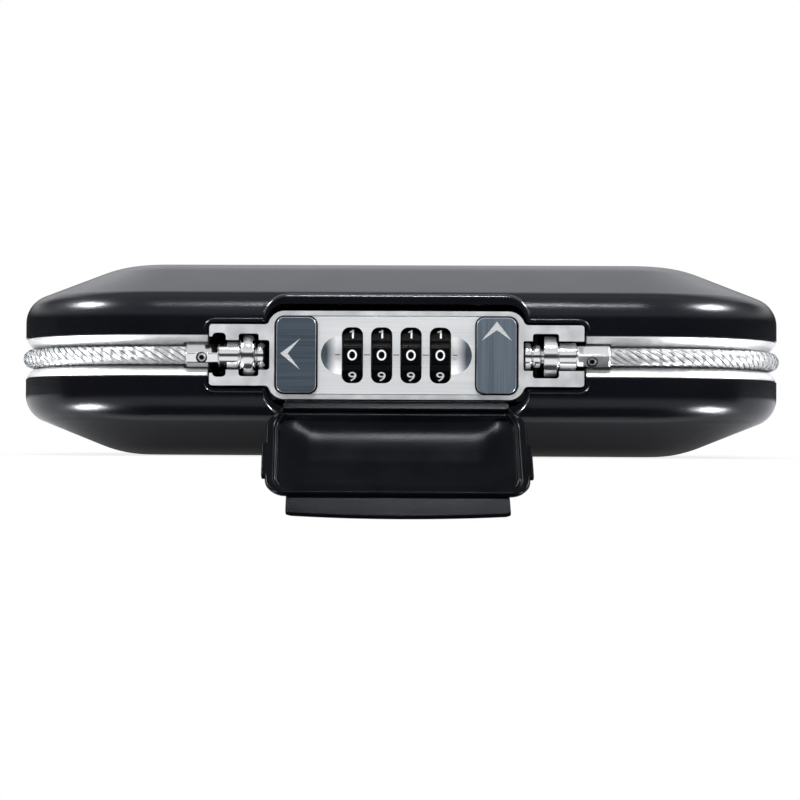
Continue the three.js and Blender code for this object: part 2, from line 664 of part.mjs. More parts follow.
// Plugs on the cable ends: crimped hexagon, neck, collar and tip as one turned piece
function cablePlug(s, plug, turn, extraCut) {
  const along = (span) => [s * span[0], s * span[1]].sort((a, b) => a - b);
  const overlapped = (span) => along([span[0] - seat, span[1]]);
  const hex = rod('x', plugRadius.hex, overlapped(plug.hex), 0, 0, hexSides).rotateX(turn);
  const turned = join(
    hex,
    rod('x', plugRadius.neck, overlapped(plug.neck)),
    rod('x', plugRadius.collar, overlapped(plug.collar), 0, 0, collarSides),
    rod('x', plugRadius.tip, along(plug.tip)),
  );
  const hole = rod('y', setScrew.radius + seat, [-plugRadius.hex - overrun, -setScrew.bed], s * setScrew.x, 0, smallSides)
    .rotateX(turn);
  return cut(turned, hole, extraCut).translate(0, cableLine, 0);
}

const setScrew = { inset: 5.5, radius: 1.5, bed: 1.2, proud: 0.2, socket: 0.8, socketDepth: 0.9 };
setScrew.x = plugLeft.hex[1] - setScrew.inset;

function setScrewSolid(s, turn) {
  const front = -plugRadius.hex * Math.cos(Math.PI / hexSides) - setScrew.proud;
  const body = rod('y', setScrew.radius, [front, -setScrew.bed - seat], s * setScrew.x, 0, smallSides);
  const socket = rod('y', setScrew.socket, [front - overrun, front + setScrew.socketDepth], s * setScrew.x, 0, hexSides);
  return cut(body, socket).rotateX(turn).translate(0, cableLine, 0);
}

// The left hexagon's front facet and both set screws look down a little, the right hexagon stands edge on
const turnShares = { left: 0.28, right: 0.5 };
const turnLeft = (turnShares.left * 2 * Math.PI) / hexSides;
const turnRight = (turnShares.right * 2 * Math.PI) / hexSides;

function leftPlug() {
  const hole = rod('z', boltPlace.radius + running, [-plugRadius.tip - overrun, boltPlace.top + running],
    boltPlace.x, 0, smallSides);
  return cablePlug(-1, plugLeft, turnLeft, hole);
}

function rightPlug() {
  const hole = rod('z', anchor.radius + running, around(0, plugRadius.tip + overrun), anchor.x, 0, smallSides);
  return cablePlug(1, plugRight, turnRight, hole);
}

// Buttons: a cap that slides over the rim, a neck through the slot and a slider in the bay
function buttonCap(s) {
  return roundedPlate(around(s * button.x, button.width / 2), around(0, button.height / 2), button.radius,
    [button.front, button.back], button.bevel);
}

const releasePeg = { shift: 1, z: -5.2, radius: 0.8 };
releasePeg.x = -button.x - releasePeg.shift;
const openPeg = { shift: 5, z: -5, radius: 1 };
openPeg.x = button.x - openPeg.shift;
const armSlot = { halfWidth: 1.6, halfHeight: 1.6 };
const releaseLeaf = { left: 3.3, right: 5.5, halfHeight: 8 };

function releaseSlider() {
  const leaf = {
    x: [-button.x - releaseLeaf.left, -button.x + releaseLeaf.right], z: around(0, releaseLeaf.halfHeight),
  };
  return join(
    box(around(-button.x, neck.halfWidth), [button.back + seat, slider.back], around(0, neck.halfHeight)),
    box(leaf.x, [slider.front, slider.back], leaf.z),
    rod('y', releasePeg.radius, [slider.front, boltPlace.armBack], releasePeg.x, releasePeg.z, smallSides),
  );
}

const openLeaf = { left: 7, right: 4.5, low: -10, high: 8, shelfTop: 1, shelfThickness: 1.2 };
openLeaf.x = [button.x - openLeaf.left, button.x + openLeaf.right];
openLeaf.z = [openLeaf.low, openLeaf.high];
openLeaf.shelf = [openLeaf.shelfTop - openLeaf.shelfThickness, openLeaf.shelfTop];

function openSlider() {
  const leaf = openLeaf;
  return join(
    box(around(openSpring.x, openSpring.radius + openSpring.wire),
      [slider.front, openSpring.y + openSpring.radius + openSpring.wire], leaf.shelf),
    box(around(button.x, neck.halfWidth), [button.back + seat, slider.back], around(0, neck.halfHeight)),
    box(leaf.x, [slider.front, slider.back], leaf.z),
    box(around(openPeg.x, armSlot.halfWidth), [slider.front, coverPlate.back - seat],
      around(openPeg.z, armSlot.halfHeight)),
    rod('y', openPeg.radius, [coverPlate.back - 2 * seat, latch.back], openPeg.x, openPeg.z, smallSides),
  );
}

// Return springs: one over a shelf of the open slider, one under the arm of the cable bolt
const openSpring = { shift: 1, behind: 2, radius: 1.3, wire: 0.35, turns: 5 };
openSpring.x = button.x + openSpring.shift;
openSpring.y = slider.back + openSpring.behind;
const releaseSpring = { inset: 3, behind: 1.6, radius: 1, wire: 0.3, turns: 5 };
releaseSpring.x = releaseSpring.inset - bay.reach;
releaseSpring.y = boltPlace.armBack + releaseSpring.behind;

function coilSpring(spring, low, high) {
  const steps = 8;
  const corners = 5;
  const count = spring.turns * steps;
  const climb = high - low - 2 * spring.wire;
  const rings = Array.from({ length: count + 1 }, (_, i) => {
    const angle = (i / steps) * 2 * Math.PI;
    const outward = new THREE.Vector3(Math.cos(angle), Math.sin(angle), 0);
    const centre = outward.clone().multiplyScalar(spring.radius).setZ(low + spring.wire + (climb * i) / count);
    return Array.from({ length: corners }, (__, corner) => {
      const turn = (corner / corners) * 2 * Math.PI;
      return centre.clone().addScaledVector(outward, spring.wire * Math.cos(turn))
        .add(new THREE.Vector3(0, 0, spring.wire * Math.sin(turn)));
    });
  });
  return loft(rings).translate(spring.x, spring.y, 0);
}

// The bolt that holds the left plug, driven by the release slider's peg in its sloping slot
function cableBolt() {
  const slide = button.travel;
  const slotEnd = [releasePeg.x - slide, releasePeg.z + boltPlace.travel];
  const depth = [boltPlace.armFront, boltPlace.armBack];
  const arm = cut(
    box([-bay.reach + running, boltArm.reach], depth, [boltArm.low, boltArm.high]),
    slotTool([releasePeg.x, releasePeg.z], slotEnd, releasePeg.radius + running,
      [boltPlace.armFront - overrun, boltPlace.armBack + overrun]),
  );
  return join(
    rod('z', boltPlace.radius, [boltPlace.bottom, boltPlace.top], boltPlace.x, cableLine, smallSides),
    box([boltPlace.x, -bay.reach + overrun], depth, [boltPlace.bottom, boltPlace.bottom + boltArm.link]),
    box(around(releaseSpring.x, releaseSpring.radius + releaseSpring.wire),
      [boltPlace.armFront, releaseSpring.y + releaseSpring.radius + releaseSpring.wire],
      [boltArm.high - boltArm.shelf, boltArm.high]),
    arm,
  );
}

// The latch behind the back cover, driven by the open slider's peg in its 45 degree slot
const latch = { end: 2.5, low: -6.9, high: 0.5, thickness: 1.6, stub: 1.1, stubBehind: 3.4, stubZ: -1.5, lug: 2 };
latch.front = coverPlate.back + seat;
latch.back = latch.front + latch.thickness;
latch.z = [latch.low, latch.high];
latch.x = openPeg.x + button.travel + latch.end;
latch.stubY = latch.back + latch.stubBehind;
const strike = {
  x: 21, thickness: 1.6, before: 2.5, behind: 3.8, low: -4, clear: 0.4, plateThickness: 1.5, halfX: 30, halfY: 4,
};
strike.front = latch.stubY - strike.before;
strike.back = latch.stubY + strike.behind;

function latchBolt() {
  const slotEnd = [openPeg.x + button.travel, openPeg.z + button.travel];
  const barSolid = cut(
    box([-latch.x, latch.x], [latch.front, latch.back], latch.z),
    slotTool([openPeg.x, openPeg.z], slotEnd, openPeg.radius + running,
      [latch.front - overrun, latch.back + overrun]),
  );
  const lugsAndStubs = sides.flatMap((s) => {
    const tip = s * strike.x - strike.clear;
    const root = tip - 2 * button.travel;
    return [
      box([root, root + latch.lug], [latch.front, latch.stubY + latch.stub], around(latch.stubZ, latch.stub)),
      rod('x', latch.stub, [root, tip], latch.stubY, latch.stubZ, smallSides),
    ];
  });
  return join(barSolid, ...lugsAndStubs);
}

function lidStrike() {
  const top = strikeSeat.top;
  return cut(
    join(
      box(around(0, strike.halfX), around(strikeSeat.y, strike.halfY), [top - strike.plateThickness, top]),
      ...sides.map((s) => box([s * strike.x, s * strike.x + strike.thickness], [strike.front, strike.back],
        [strike.low, top - strike.plateThickness / 2])),
    ),
    ...sides.map((s) => rod('x', latch.stub + running,
      [s * strike.x - overrun, s * strike.x + strike.thickness + overrun], latch.stubY, latch.stubZ, smallSides)),
    ...sides.map((s) => rod('z', plasticHole, [top - strike.plateThickness - overrun, top + overrun],
      s * strikeSeat.x, strikeSeat.y, smallSides)),
  );
}

const resetSlide = {
  x: -10, z: 6, halfX: 4, halfZ: 2.2, neckX: 1.6, neckZ: 1.2, travel: 5, plate: 1.2, thumb: 0.6, thumbRise: 1.5,
  head: 1.5, overlap: 0.3,
};

function backCover() {
  const arm = { x: around(openPeg.x, armSlot.halfWidth + running) };
  return cut(
    roundedPlate(around(0, lock.halfWidth), around(0, lock.halfHeight), coverPlate.radius,
      [coverPlate.front, coverPlate.back]),
    ...sides.flatMap((s) => sides.map((t) => rod('y', plasticHole,
      [coverPlate.front - overrun, coverPlate.back + overrun], s * coverScrews.x, t * coverScrews.z, smallSides))),
    box(arm.x, [coverPlate.front - overrun, coverPlate.back + overrun],
      [openPeg.z - armSlot.halfHeight - running, openPeg.z + armSlot.halfHeight + button.travel + running]),
    box([resetSlide.x - resetSlide.neckX - running, resetSlide.x + resetSlide.neckX + resetSlide.travel + running],
      [coverPlate.front - overrun, coverPlate.back + overrun], around(resetSlide.z, resetSlide.neckZ + running)),
  );
}

// Small slide for setting a new code, on the back cover
function codeResetSlide() {
  const r = resetSlide;
  const outside = coverPlate.back + running;
  const inside = coverPlate.front - running;
  return join(
    box(around(r.x, r.halfX), [outside, outside + r.plate], around(r.z, r.halfZ)),
    box(around(r.x, r.thumb), [outside + r.plate - r.overlap, outside + r.plate + r.thumbRise], around(r.z, r.halfZ)),
    box(around(r.x, r.neckX), [inside - r.overlap, outside + r.overlap], around(r.z, r.neckZ)),
    box(around(r.x, r.neckX), [inside - r.head, inside], around(r.z, r.halfZ)),
  );
}

// Hinges
function baseHinge(s) {
  const outer = hingeSpan(s, hinge.half);
  const gap = hingeSpan(s, hinge.knuckle / 2 + running);
  const leaf = box(outer, [hinge.leafFront, hinge.leafBack], [-frame.edge, hinge.armTop]);
  const arm = box(outer, [hinge.leafFront, hinge.axisY - hinge.barrel - running], [hinge.armBottom, hinge.armTop]);
  const knuckles = sides.flatMap((t) => {
    const span = t < 0 ? [outer[0], gap[0]] : [gap[1], outer[1]];
    return [
      box(span, [hinge.leafBack, hinge.axisY], [hinge.armBottom, hinge.armTop]),
      box(span, [hinge.axisY - hinge.barrel, hinge.axisY], [hinge.armBottom, hinge.axisZ]),
      rod('x', hinge.barrel, span, hinge.axisY, hinge.axisZ),
    ];
  });
  return cut(
    join(leaf, arm, ...knuckles),
    rod('x', hinge.bore, [outer[0] - overrun, outer[1] + overrun], hinge.axisY, hinge.axisZ),
    ...sides.map((t) => rod('y', plasticHole, [hinge.leafFront - overrun, hinge.leafBack + overrun],
      s * hinge.x + t * hingeScrews.baseX, -hingeScrews.height, smallSides)),
  );
}

function lidHinge(s) {
  const middle = hingeSpan(s, hinge.knuckle / 2);
  const wings = hingeSpan(s, hinge.slot + hinge.wing);
  const staple = cut(
    box(wings, [hinge.leafFront, hinge.leafBack], [running + seat, hinge.lidTop]),
    box(hingeSpan(s, hinge.slot), [hinge.leafFront - overrun, hinge.leafBack + overrun],
      [-overrun, hinge.lidBridge]),
  );
  return cut(
    join(
      staple,
      box(middle, [hinge.leafFront, hinge.axisY], [hinge.lidBridge, hinge.lidTop - seat]),
      rod('x', hinge.barrel, middle, hinge.axisY, hinge.axisZ),
    ),
    rod('x', hinge.bore, [middle[0] - overrun, middle[1] + overrun], hinge.axisY, hinge.axisZ),
    ...sides.map((t) => rod('y', plasticHole, [hinge.leafFront - overrun, hinge.leafBack + overrun],
      s * hinge.x + t * (hinge.slot + hinge.wing / 2), hingeScrews.height, smallSides)),
  );
}

// Rubber cover: a root strip under the housing and a flap that hangs open
const cover = {
  before: 1.9, below: 0.2, bead: 1.2, beadInset: 2.6, rootInset: 5.3, open: 142 * degree, margin: 1.6, skin: 1.7,
  rise: 4.7, flange: 0.9, flangeDepth: 1.2, flangeFoot: 3, length: 32.5, lip: 7.5, lipHalf: 33, lipLean: 1.6, corner: 6,
  overlap: 1, tabLow: 13.7, tabHigh: 25.9, tabWidth: 1.1, tabOut: 1.6, end: 1.5, rootDepth: 9,
  relief: 9, reliefTop: 2,
};
cover.axisY = lock.front - cover.before;
cover.axisZ = -lockCutHeight - cover.below;
cover.halfBead = lock.halfWidth - cover.beadInset;
cover.halfRoot = lock.halfWidth - cover.rootInset;
cover.halfWidth = lock.halfWidth + cover.margin;
// Places along the flap and out from the lock, as shares of its length and rise
const flapShares = [[0, 0.255], [0.163, 0.723], [0.358, 1], [0.619, 1], [0.814, 0.766], [1, 0.553]];

function coverRoot() {
  const low = -lockCutHeight + seat;
  const high = -lock.halfHeight - seat;
  const front = cover.axisY + cover.bead + running;
  return box(around(0, cover.halfRoot), [front, front + cover.rootDepth], [low, high]);
}

// The flap as it lies when closed: its hinge bead at the origin, up is +Z and out is -Y.
function coverFlap() {
  const outside = flapShares.map(([u, v]) => [u * cover.length, v * cover.rise]);
  const [foot, edge] = outside[outside.length - 1];
  const tip = [foot + cover.lip, edge + cover.lipLean];
  const across = (half) => around(0, half);
  const panel = bar([
    ...outside.map(([u, v]) => [-v, u]),
    ...[...outside].reverse().map(([u, v]) => [-v + cover.skin, u]),
  ], across(cover.halfWidth));
  const lip = bar([
    [-edge, foot - cover.overlap], [-tip[1], tip[0]], [-tip[1] + cover.skin, tip[0]],
    [-edge + cover.skin, foot - cover.overlap],
  ], across(cover.lipHalf));
  const outline = (inset, end, radius) => roundedPlate(across(cover.halfWidth - inset), [-foot, foot - end], radius,
    [-cover.rise - overrun, cover.relief]);
  const whole = outline(0, 0, cover.corner);
  const rim = keep(cut(whole, outline(cover.flange, cover.end, cover.corner - cover.flange)), bar([
    [cover.flangeDepth, cover.flangeFoot], ...outside.slice(1).map(([u, v]) => [-v + cover.skin / 2, u]),
    [cover.flangeDepth, foot],
  ], across(cover.halfWidth)));
  const tabs = sides.map((s) => box(
    [s * (cover.halfWidth - cover.overlap), s * (cover.halfWidth + cover.tabWidth)].sort((a, b) => a - b),
    [-cover.tabOut, cover.flangeDepth], [cover.tabLow, cover.tabHigh],
  ));
  return join(
    rod('x', cover.bead, across(cover.halfBead)),
    cut(keep(panel, whole), ...sides.map((s) => box(
      [s * (cover.halfBead + seat), s * (cover.halfWidth + overrun)].sort((a, b) => a - b),
      around(0, cover.relief), [-overrun, cover.reliefTop],
    ))),
    lip, rim, ...tabs,
  );
}

// Base
piece('base_shell', shell(-1), 'shell');
piece('base_frame', channelFrame(-1), 'frame');
piece('base_foam', foamLiner(-1), 'foam');
piece('lock_housing', lockHousing(), 'cast');
piece('dial_plate', dialPlate(), 'brushed');
piece('dial_axle', dialAxle(), 'steel');
piece('detent_comb', detentComb(), 'steel');
piece('fence_bar', fenceBar(), 'steel');
piece('lock_back_cover', backCover(), 'steel');
sides.forEach((s) => sides.forEach((t) => {
  const name = `back_cover_screw_${t > 0 ? 'upper' : 'lower'}_${s > 0 ? 'right' : 'left'}`;
  const mesh = piece(name, screw(coverScrews.depth + coverPlate.back - coverPlate.front), 'steel');
  mesh.rotation.x = Math.PI / 2;
  mesh.position.set(s * coverScrews.x, coverPlate.back + seat, t * coverScrews.z);
}));
piece('tether_cable', tetherCable(), 'cable');
piece('cable_plug_left', leftPlug(), 'chrome');
piece('cable_plug_right', rightPlug(), 'chrome');
piece('set_screw_left', setScrewSolid(-1, turnLeft), 'steel');
piece('set_screw_right', setScrewSolid(1, turnRight), 'steel');
piece('cable_anchor_pin', rod('z', anchor.radius, around(0, anchor.reach), anchor.x, cableLine, smallSides), 'steel');
piece('cover_root_strip', coverRoot(), 'rubber');
sides.forEach((s) => {
  const name = s > 0 ? 'right' : 'left';
  const mount = piece(`housing_screw_${name}`, screw(lugs.thickness + hingeScrews.depth), 'steel');
  mount.rotation.x = Math.PI;
  mount.position.set(s * lugs.x, lugs.y, lugs.top + seat);
  piece(`base_hinge_${name}`, baseHinge(s), 'steel');
  piece(`hinge_pin_${name}`, rod('x', hinge.pin, hingeSpan(s, hinge.half), hinge.axisY, hinge.axisZ), 'steel');
  sides.forEach((t) => {
    const label = `base_hinge_screw_${name}_${t * s > 0 ? 'outer' : 'inner'}`;
    const leafScrew = piece(label, screw(hinge.leafBack - hinge.leafFront + hingeScrews.depth), 'steel');
    leafScrew.rotation.x = -Math.PI / 2;
    leafScrew.position.set(s * hinge.x + t * hingeScrews.baseX, hinge.leafFront - seat, -hingeScrews.height);
  });
});

// Lid
piece('lid_shell', shell(1), 'shell');
piece('lid_frame', channelFrame(1), 'frame');
piece('lid_foam', foamLiner(1), 'foam');
piece('lid_strike', lidStrike(), 'steel');
sides.forEach((s) => {
  const name = s > 0 ? 'right' : 'left';
  const mount = piece(`strike_screw_${name}`, screw(strike.plateThickness + hingeScrews.depth), 'steel');
  mount.position.set(s * strikeSeat.x, strikeSeat.y, strikeSeat.top - strike.plateThickness - seat);
  piece(`lid_hinge_${name}`, lidHinge(s), 'steel');
  sides.forEach((t) => {
    const label = `lid_hinge_screw_${name}_${t * s > 0 ? 'outer' : 'inner'}`;
    const leafScrew = piece(label, screw(hinge.leafBack - hinge.leafFront + hingeScrews.depth), 'steel');
    leafScrew.rotation.x = -Math.PI / 2;
    leafScrew.position.set(s * hinge.x + t * (hinge.slot + hinge.wing / 2), hinge.leafFront - seat,
      hingeScrews.height);
  });
});

// Moving pieces of the lock
dialPlaces.forEach((x, i) => {
  piece(`code_dial_${i + 1}`, codeWheel(), 'dial').position.set(x, dial.axisY, 0);
});
piece('release_button_cap', buttonCap(-1), 'cap');
piece('release_button_slider', releaseSlider(), 'steel');
piece('open_button_cap', buttonCap(1), 'cap');
piece('open_button_slider', openSlider(), 'steel');
piece('open_button_spring', coilSpring(openSpring, openLeaf.shelf[1] + seat, bay.halfHeight - seat), 'steel');
piece('release_spring', coilSpring(releaseSpring, -bay.halfHeight + seat, boltArm.high - boltArm.shelf - seat), 'steel');
piece('cable_bolt', cableBolt(), 'steel');
piece('latch_bolt', latchBolt(), 'steel');
piece('code_reset_slide', codeResetSlide(), 'steel');

const flap = piece('dial_cover', coverFlap(), 'rubber');
flap.rotation.x = cover.open;
flap.position.set(0, cover.axisY, cover.axisZ);

export default safe;
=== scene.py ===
from math import atan2, cos, hypot, pi, sin, sqrt, tan

import bpy
import bmesh
from mathutils import Matrix, Vector


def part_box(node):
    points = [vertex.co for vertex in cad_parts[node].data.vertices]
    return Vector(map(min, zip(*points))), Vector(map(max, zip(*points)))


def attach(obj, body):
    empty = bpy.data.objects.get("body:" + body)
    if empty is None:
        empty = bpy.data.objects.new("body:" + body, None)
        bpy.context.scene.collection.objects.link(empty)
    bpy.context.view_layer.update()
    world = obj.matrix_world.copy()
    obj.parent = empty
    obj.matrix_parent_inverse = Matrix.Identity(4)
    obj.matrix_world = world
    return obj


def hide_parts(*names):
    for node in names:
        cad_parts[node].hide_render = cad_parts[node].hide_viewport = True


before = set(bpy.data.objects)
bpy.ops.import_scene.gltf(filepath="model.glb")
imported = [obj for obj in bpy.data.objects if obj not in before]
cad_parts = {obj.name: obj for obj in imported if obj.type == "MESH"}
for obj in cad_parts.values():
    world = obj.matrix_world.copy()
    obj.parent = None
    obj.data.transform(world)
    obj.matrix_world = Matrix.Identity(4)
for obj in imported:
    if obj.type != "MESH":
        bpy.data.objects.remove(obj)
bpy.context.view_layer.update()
mm = 0.001
deg = pi / 180

# The case, read from the frame: millimetres, with the seam at height 0
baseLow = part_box("base_shell")[0]
lidLow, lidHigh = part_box("lid_shell")
seamHeight = (baseLow[2] + lidHigh[2]) / 2
case = {
    "halfWidth": lidHigh[0] / mm,
    "halfDepth": lidHigh[1] / mm,
    "halfHeight": (lidHigh[2] - seamHeight) / mm,
    "cornerRadius": 48,
    "wall": 2.5,
    "shoulderHeight": 17.6,
    "shoulderRadius": 9,
    "crownRadius": 40,
    "crownSlope": 22 * deg,
    "edge": (lidLow[2] - seamHeight) / mm,
    "cornerSteps": 20,
}
seat = 0.3  # running and seating gap between neighbours
over = 2  # how far a cutter runs past what it cuts
print("frame read:", len(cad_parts), "nodes")


def linked(name, data):
    obj = bpy.data.objects.new(name, data)
    bpy.context.scene.collection.objects.link(obj)
    return obj


def aimed(obj, place, aim):
    obj.location = place
    obj.rotation_mode = "QUATERNION"
    obj.rotation_quaternion = (Vector(aim) - Vector(place)).to_track_quat("-Z", "Y")
    return obj


# Camera: straight on, a little below the lid's level
def addCamera():
    look = {"place": (0.0158, -0.723, 0.0052), "aim": (-0.0009, 0, 0.0188), "roll": 0.3 * deg,
            "focal": 95.1, "sensor": 36, "near": 0.05}
    data = bpy.data.cameras.new("frontCamera")
    data.lens, data.sensor_width, data.clip_start = look["focal"], look["sensor"], look["near"]
    cam = aimed(linked("frontCamera", data), look["place"], look["aim"])
    cam.rotation_quaternion @= Matrix.Rotation(look["roll"], 3, "Z").to_quaternion()
    bpy.context.scene.camera = cam


addCamera()


# Mesh tools: everything is drawn in millimetres from the seam and scaled at the end
def newObject(name, points, faces):
    mesh = bpy.data.meshes.new(name)
    mesh.from_pydata([tuple(p) for p in points], [], faces)
    bm = bmesh.new()
    bm.from_mesh(mesh)
    bmesh.ops.remove_doubles(bm, verts=bm.verts, dist=1e-5)
    bmesh.ops.recalc_face_normals(bm, faces=bm.faces)
    bm.to_mesh(mesh)
    bm.free()
    return linked(name, mesh)


def loft(name, rings, meetsItself=False):
    count = len(rings[0])
    points = [p for ring in rings for p in ring]
    links = len(rings) if meetsItself else len(rings) - 1
    faces = []
    for r in range(links):
        a, b = r * count, ((r + 1) % len(rings)) * count
        faces += [(a + i, a + (i + 1) % count, b + (i + 1) % count, b + i) for i in range(count)]
    if not meetsItself:
        last = (len(rings) - 1) * count
        faces += [tuple(reversed(range(count))), tuple(range(last, last + count))]
    return newObject(name, points, faces)


def slab(name, near, far, across):
    # a closed sheet between two grids of points, both given row by row
    shift, rows = len(near), len(near) // across
    faces = []
    for j in range(rows - 1):
        for a in range(j * across, (j + 1) * across - 1):
            b = shift + a
            faces += [(a, a + 1, a + across + 1, a + across), (b, b + across, b + across + 1, b + 1)]
        for a in (j * across, (j + 1) * across - 1):
            faces.append((a, a + across, shift + a + across, shift + a))
    for j in (0, rows - 1):
        for a in range(j * across, (j + 1) * across - 1):
            faces.append((a, a + 1, shift + a + 1, shift + a))
    return newObject(name, near + far, faces)


def around(middle, half):
    return (middle - half, middle + half)


def spread(span):
    # a plain number is half of a span round zero
    return span if isinstance(span, tuple) else around(0, span)


def block(x, y, z):
    x, y, z = spread(x), spread(y), spread(z)
    ring = [(x[0], y[0]), (x[1], y[0]), (x[1], y[1]), (x[0], y[1])]
    return loft("block", [[(a, b, c) for a, b in ring] for c in z])


def onCircle(a, b, radius, t):
    return (a + radius * cos(t), b + radius * sin(t))


def circle(a, b, radius, steps):
    return [onCircle(a, b, radius, 2 * pi * i / steps) for i in range(steps)]


def turned(axis, profile, a=0, b=0, steps=48):
    # profile: (place along the axis, radius) pairs, both ends closed by a small disc
    order = {"x": lambda s, u, v: (s, u, v), "y": lambda s, u, v: (u, s, v), "z": lambda s, u, v: (u, v, s)}
    return loft("turned", [[order[axis](along, *p) for p in circle(a, b, radius, steps)]
                           for along, radius in profile])


def rod(axis, radius, span, a=0, b=0, steps=40):
    return turned(axis, [(along, radius) for along in span], a, b, steps)


def roundOutline(x, z, radius, steps=8):
    x, z = spread(x), spread(z)
    corners = [(x[1] - radius, z[1] - radius), (x[0] + radius, z[1] - radius),
               (x[0] + radius, z[0] + radius), (x[1] - radius, z[0] + radius)]
    return [onCircle(*corner, radius, (i + s / steps) * pi / 2)
            for i, corner in enumerate(corners) for s in range(steps + 1)]


def ordered(side, span):
    return tuple(sorted((side * span[0], side * span[1])))


def plate(outline, y):
    return loft("plate", [[(px, yy, pz) for px, pz in outline] for yy in y])


def tile(halfWidth, halfHeight, radius, y, steps=8, x=0):
    # a plate with rounded corners, level with the seam
    return plate(roundOutline(around(x, halfWidth), halfHeight, radius, steps), y)


def drawnOut(outline, x):
    # an outline in Y and Z, drawn out along X
    return loft("drawnOut", [[(xx, py, pz) for py, pz in outline] for xx in x])


def remade(obj):
    depsgraph = bpy.context.evaluated_depsgraph_get()
    mesh = bpy.data.meshes.new_from_object(obj.evaluated_get(depsgraph))
    obj.modifiers.clear()
    old = obj.data
    obj.data = mesh
    bpy.data.meshes.remove(old)
    return obj


def combine(obj, tools, kind):
    for tool in tools:
        mod = obj.modifiers.new("combine", "BOOLEAN")
        mod.operation = kind
        mod.solver = "EXACT"
        mod.object = tool
        remade(obj)
        bpy.data.objects.remove(tool)
    return obj


def cut(obj, *tools):
    return combine(obj, tools, "DIFFERENCE")


def join(obj, *tools):
    return combine(obj, tools, "UNION")


def keep(obj, *tools):
    return combine(obj, tools, "INTERSECT")


def gathered(obj, *others):
    # one mesh of several closed bodies
    bm = bmesh.new()
    bm.from_mesh(obj.data)
    for other in others:
        bm.from_mesh(other.data)
        bpy.data.objects.remove(other)
    bm.to_mesh(obj.data)
    bm.free()
    return obj


def soften(obj, width, segments=2, angle=40):
    bm = bmesh.new()
    bm.from_mesh(obj.data)
    bmesh.ops.remove_doubles(bm, verts=bm.verts, dist=0.004)
    bmesh.ops.dissolve_limit(bm, angle_limit=0.2 * deg, verts=bm.verts, edges=bm.edges)
    bm.to_mesh(obj.data)
    bm.free()
    mod = obj.modifiers.new("soften", "BEVEL")
    mod.width = width
    mod.segments = segments
    mod.limit_method = "ANGLE"
    mod.angle_limit = angle * deg
    mod.miter_outer = "MITER_ARC"
    return remade(obj)


def shade(obj, angle):
    obj.data.shade_smooth()
    obj.data.set_sharp_from_angle(angle=angle * deg)
    mod = obj.modifiers.new("evenNormals", "WEIGHTED_NORMAL")
    mod.keep_sharp = True
    mod.weight = 80
    return remade(obj)


def piece(obj, name, finish, body, slot, stands=(), angle=32, extra=()):
    # millimetres from the seam become metres in the frame, then the piece gets its finish and its body
    obj.name = obj.data.name = name
    obj.data.transform(Matrix.Translation((0, 0, seamHeight)) @ Matrix.Scale(mm, 4))
    obj.data.materials.clear()
    for key in (finish, *extra):
        obj.data.materials.append(finishes[key])
    if angle:
        shade(obj, angle)
    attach(obj, body)
    if stands:
        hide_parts(*stands)
    return obj


# The node tree of a material or of the world
class Tree:
    def __init__(self, owner):
        owner.use_nodes = True
        self.nodes, self.links = owner.node_tree.nodes, owner.node_tree.links

    def put(self, socket, value):
        if isinstance(value, bpy.types.NodeSocket):
            self.links.new(value, socket)
        else:
            socket.default_value = value

    def fill(self, node, **named):
        for key, value in named.items():
            self.put(node.inputs[key.replace("_", " ")], value)
        return node

    def add(self, kind, *values, setup=None, **named):
        node = self.nodes.new("ShaderNode" + kind)
        for key, value in (setup or {}).items():
            setattr(node, key, value)
        for socket, value in zip(node.inputs, values):
            self.put(socket, value)
        return self.fill(node, **named)

    def sums(self, operation, *values):
        return self.add("Math", *values, setup={"operation": operation}).outputs[0]

    def noise(self, scale, detail=3, stretch=(1, 1, 1), roughness=0.5):
        place = self.add("Mapping", Vector=self.add("TexCoord").outputs["Object"], Scale=stretch)
        node = self.add("TexNoise", Vector=place.outputs["Vector"], Scale=scale, Detail=detail,
                        Roughness=roughness)
        return node.outputs["Fac"]

    def ramp(self, source, low, high, span=(0.3, 0.7)):
        node = self.add("MapRange", Value=source, From_Min=span[0], From_Max=span[1], To_Min=low,
                        To_Max=high)
        return node.outputs["Result"]

    def blend(self, source, low, high, span=(0.3, 0.7), most=1):
        node = self.add("Mix", setup={"data_type": "RGBA"}, A=low, B=high,
                        Factor=self.ramp(source, 0, most, span))
        return node.outputs["Result"]

    def bump(self, strength, depth, height, before=None):
        node = self.add("Bump", Strength=strength, Distance=depth, Height=height)
        if before:
            self.put(node.inputs["Normal"], before)
        return node.outputs["Normal"]


# Materials
def surface(name, low, high, rough, metal, grain, fleck=None, bumps=(), paintedWallShade=None, **more):
    # The grain is a noise that sets the roughness, and the colour from low to high unless there is a fleck.
    # A bump is (strength, depth, noise of its own if it has one). The painted wall shade darkens walls that
    # face aside along X, standing in for shade and reflection.
    material = bpy.data.materials.new(name)
    tree = Tree(material)
    grain = tree.noise(*grain)
    tone = tree.noise(*fleck) if fleck else grain
    colour = tree.blend(tone, (*low, 1), (*high, 1)) if high else (*low, 1)
    # painted shade: faces turned aside along X are mixed toward a dark slate, standing in for the shade and
    # dark reflection on the dimple walls
    if paintedWallShade:
        split = tree.add("SeparateXYZ", tree.add("NewGeometry").outputs["Normal"])
        aside = tree.sums("ABSOLUTE", split.outputs["X"])
        colour = tree.blend(aside, colour, (*paintedWallShade, 1), (0.06, 0.22), 0.95)
    normal = None
    for strength, depth, *own in bumps:
        normal = tree.bump(strength, depth, tree.noise(*own) if own else tone, normal)
    if normal:
        more["Normal"] = normal
    tree.fill(tree.nodes["Principled BSDF"], Base_Color=colour, Metallic=metal,
              Roughness=tree.ramp(grain, *rough), **more)
    return material


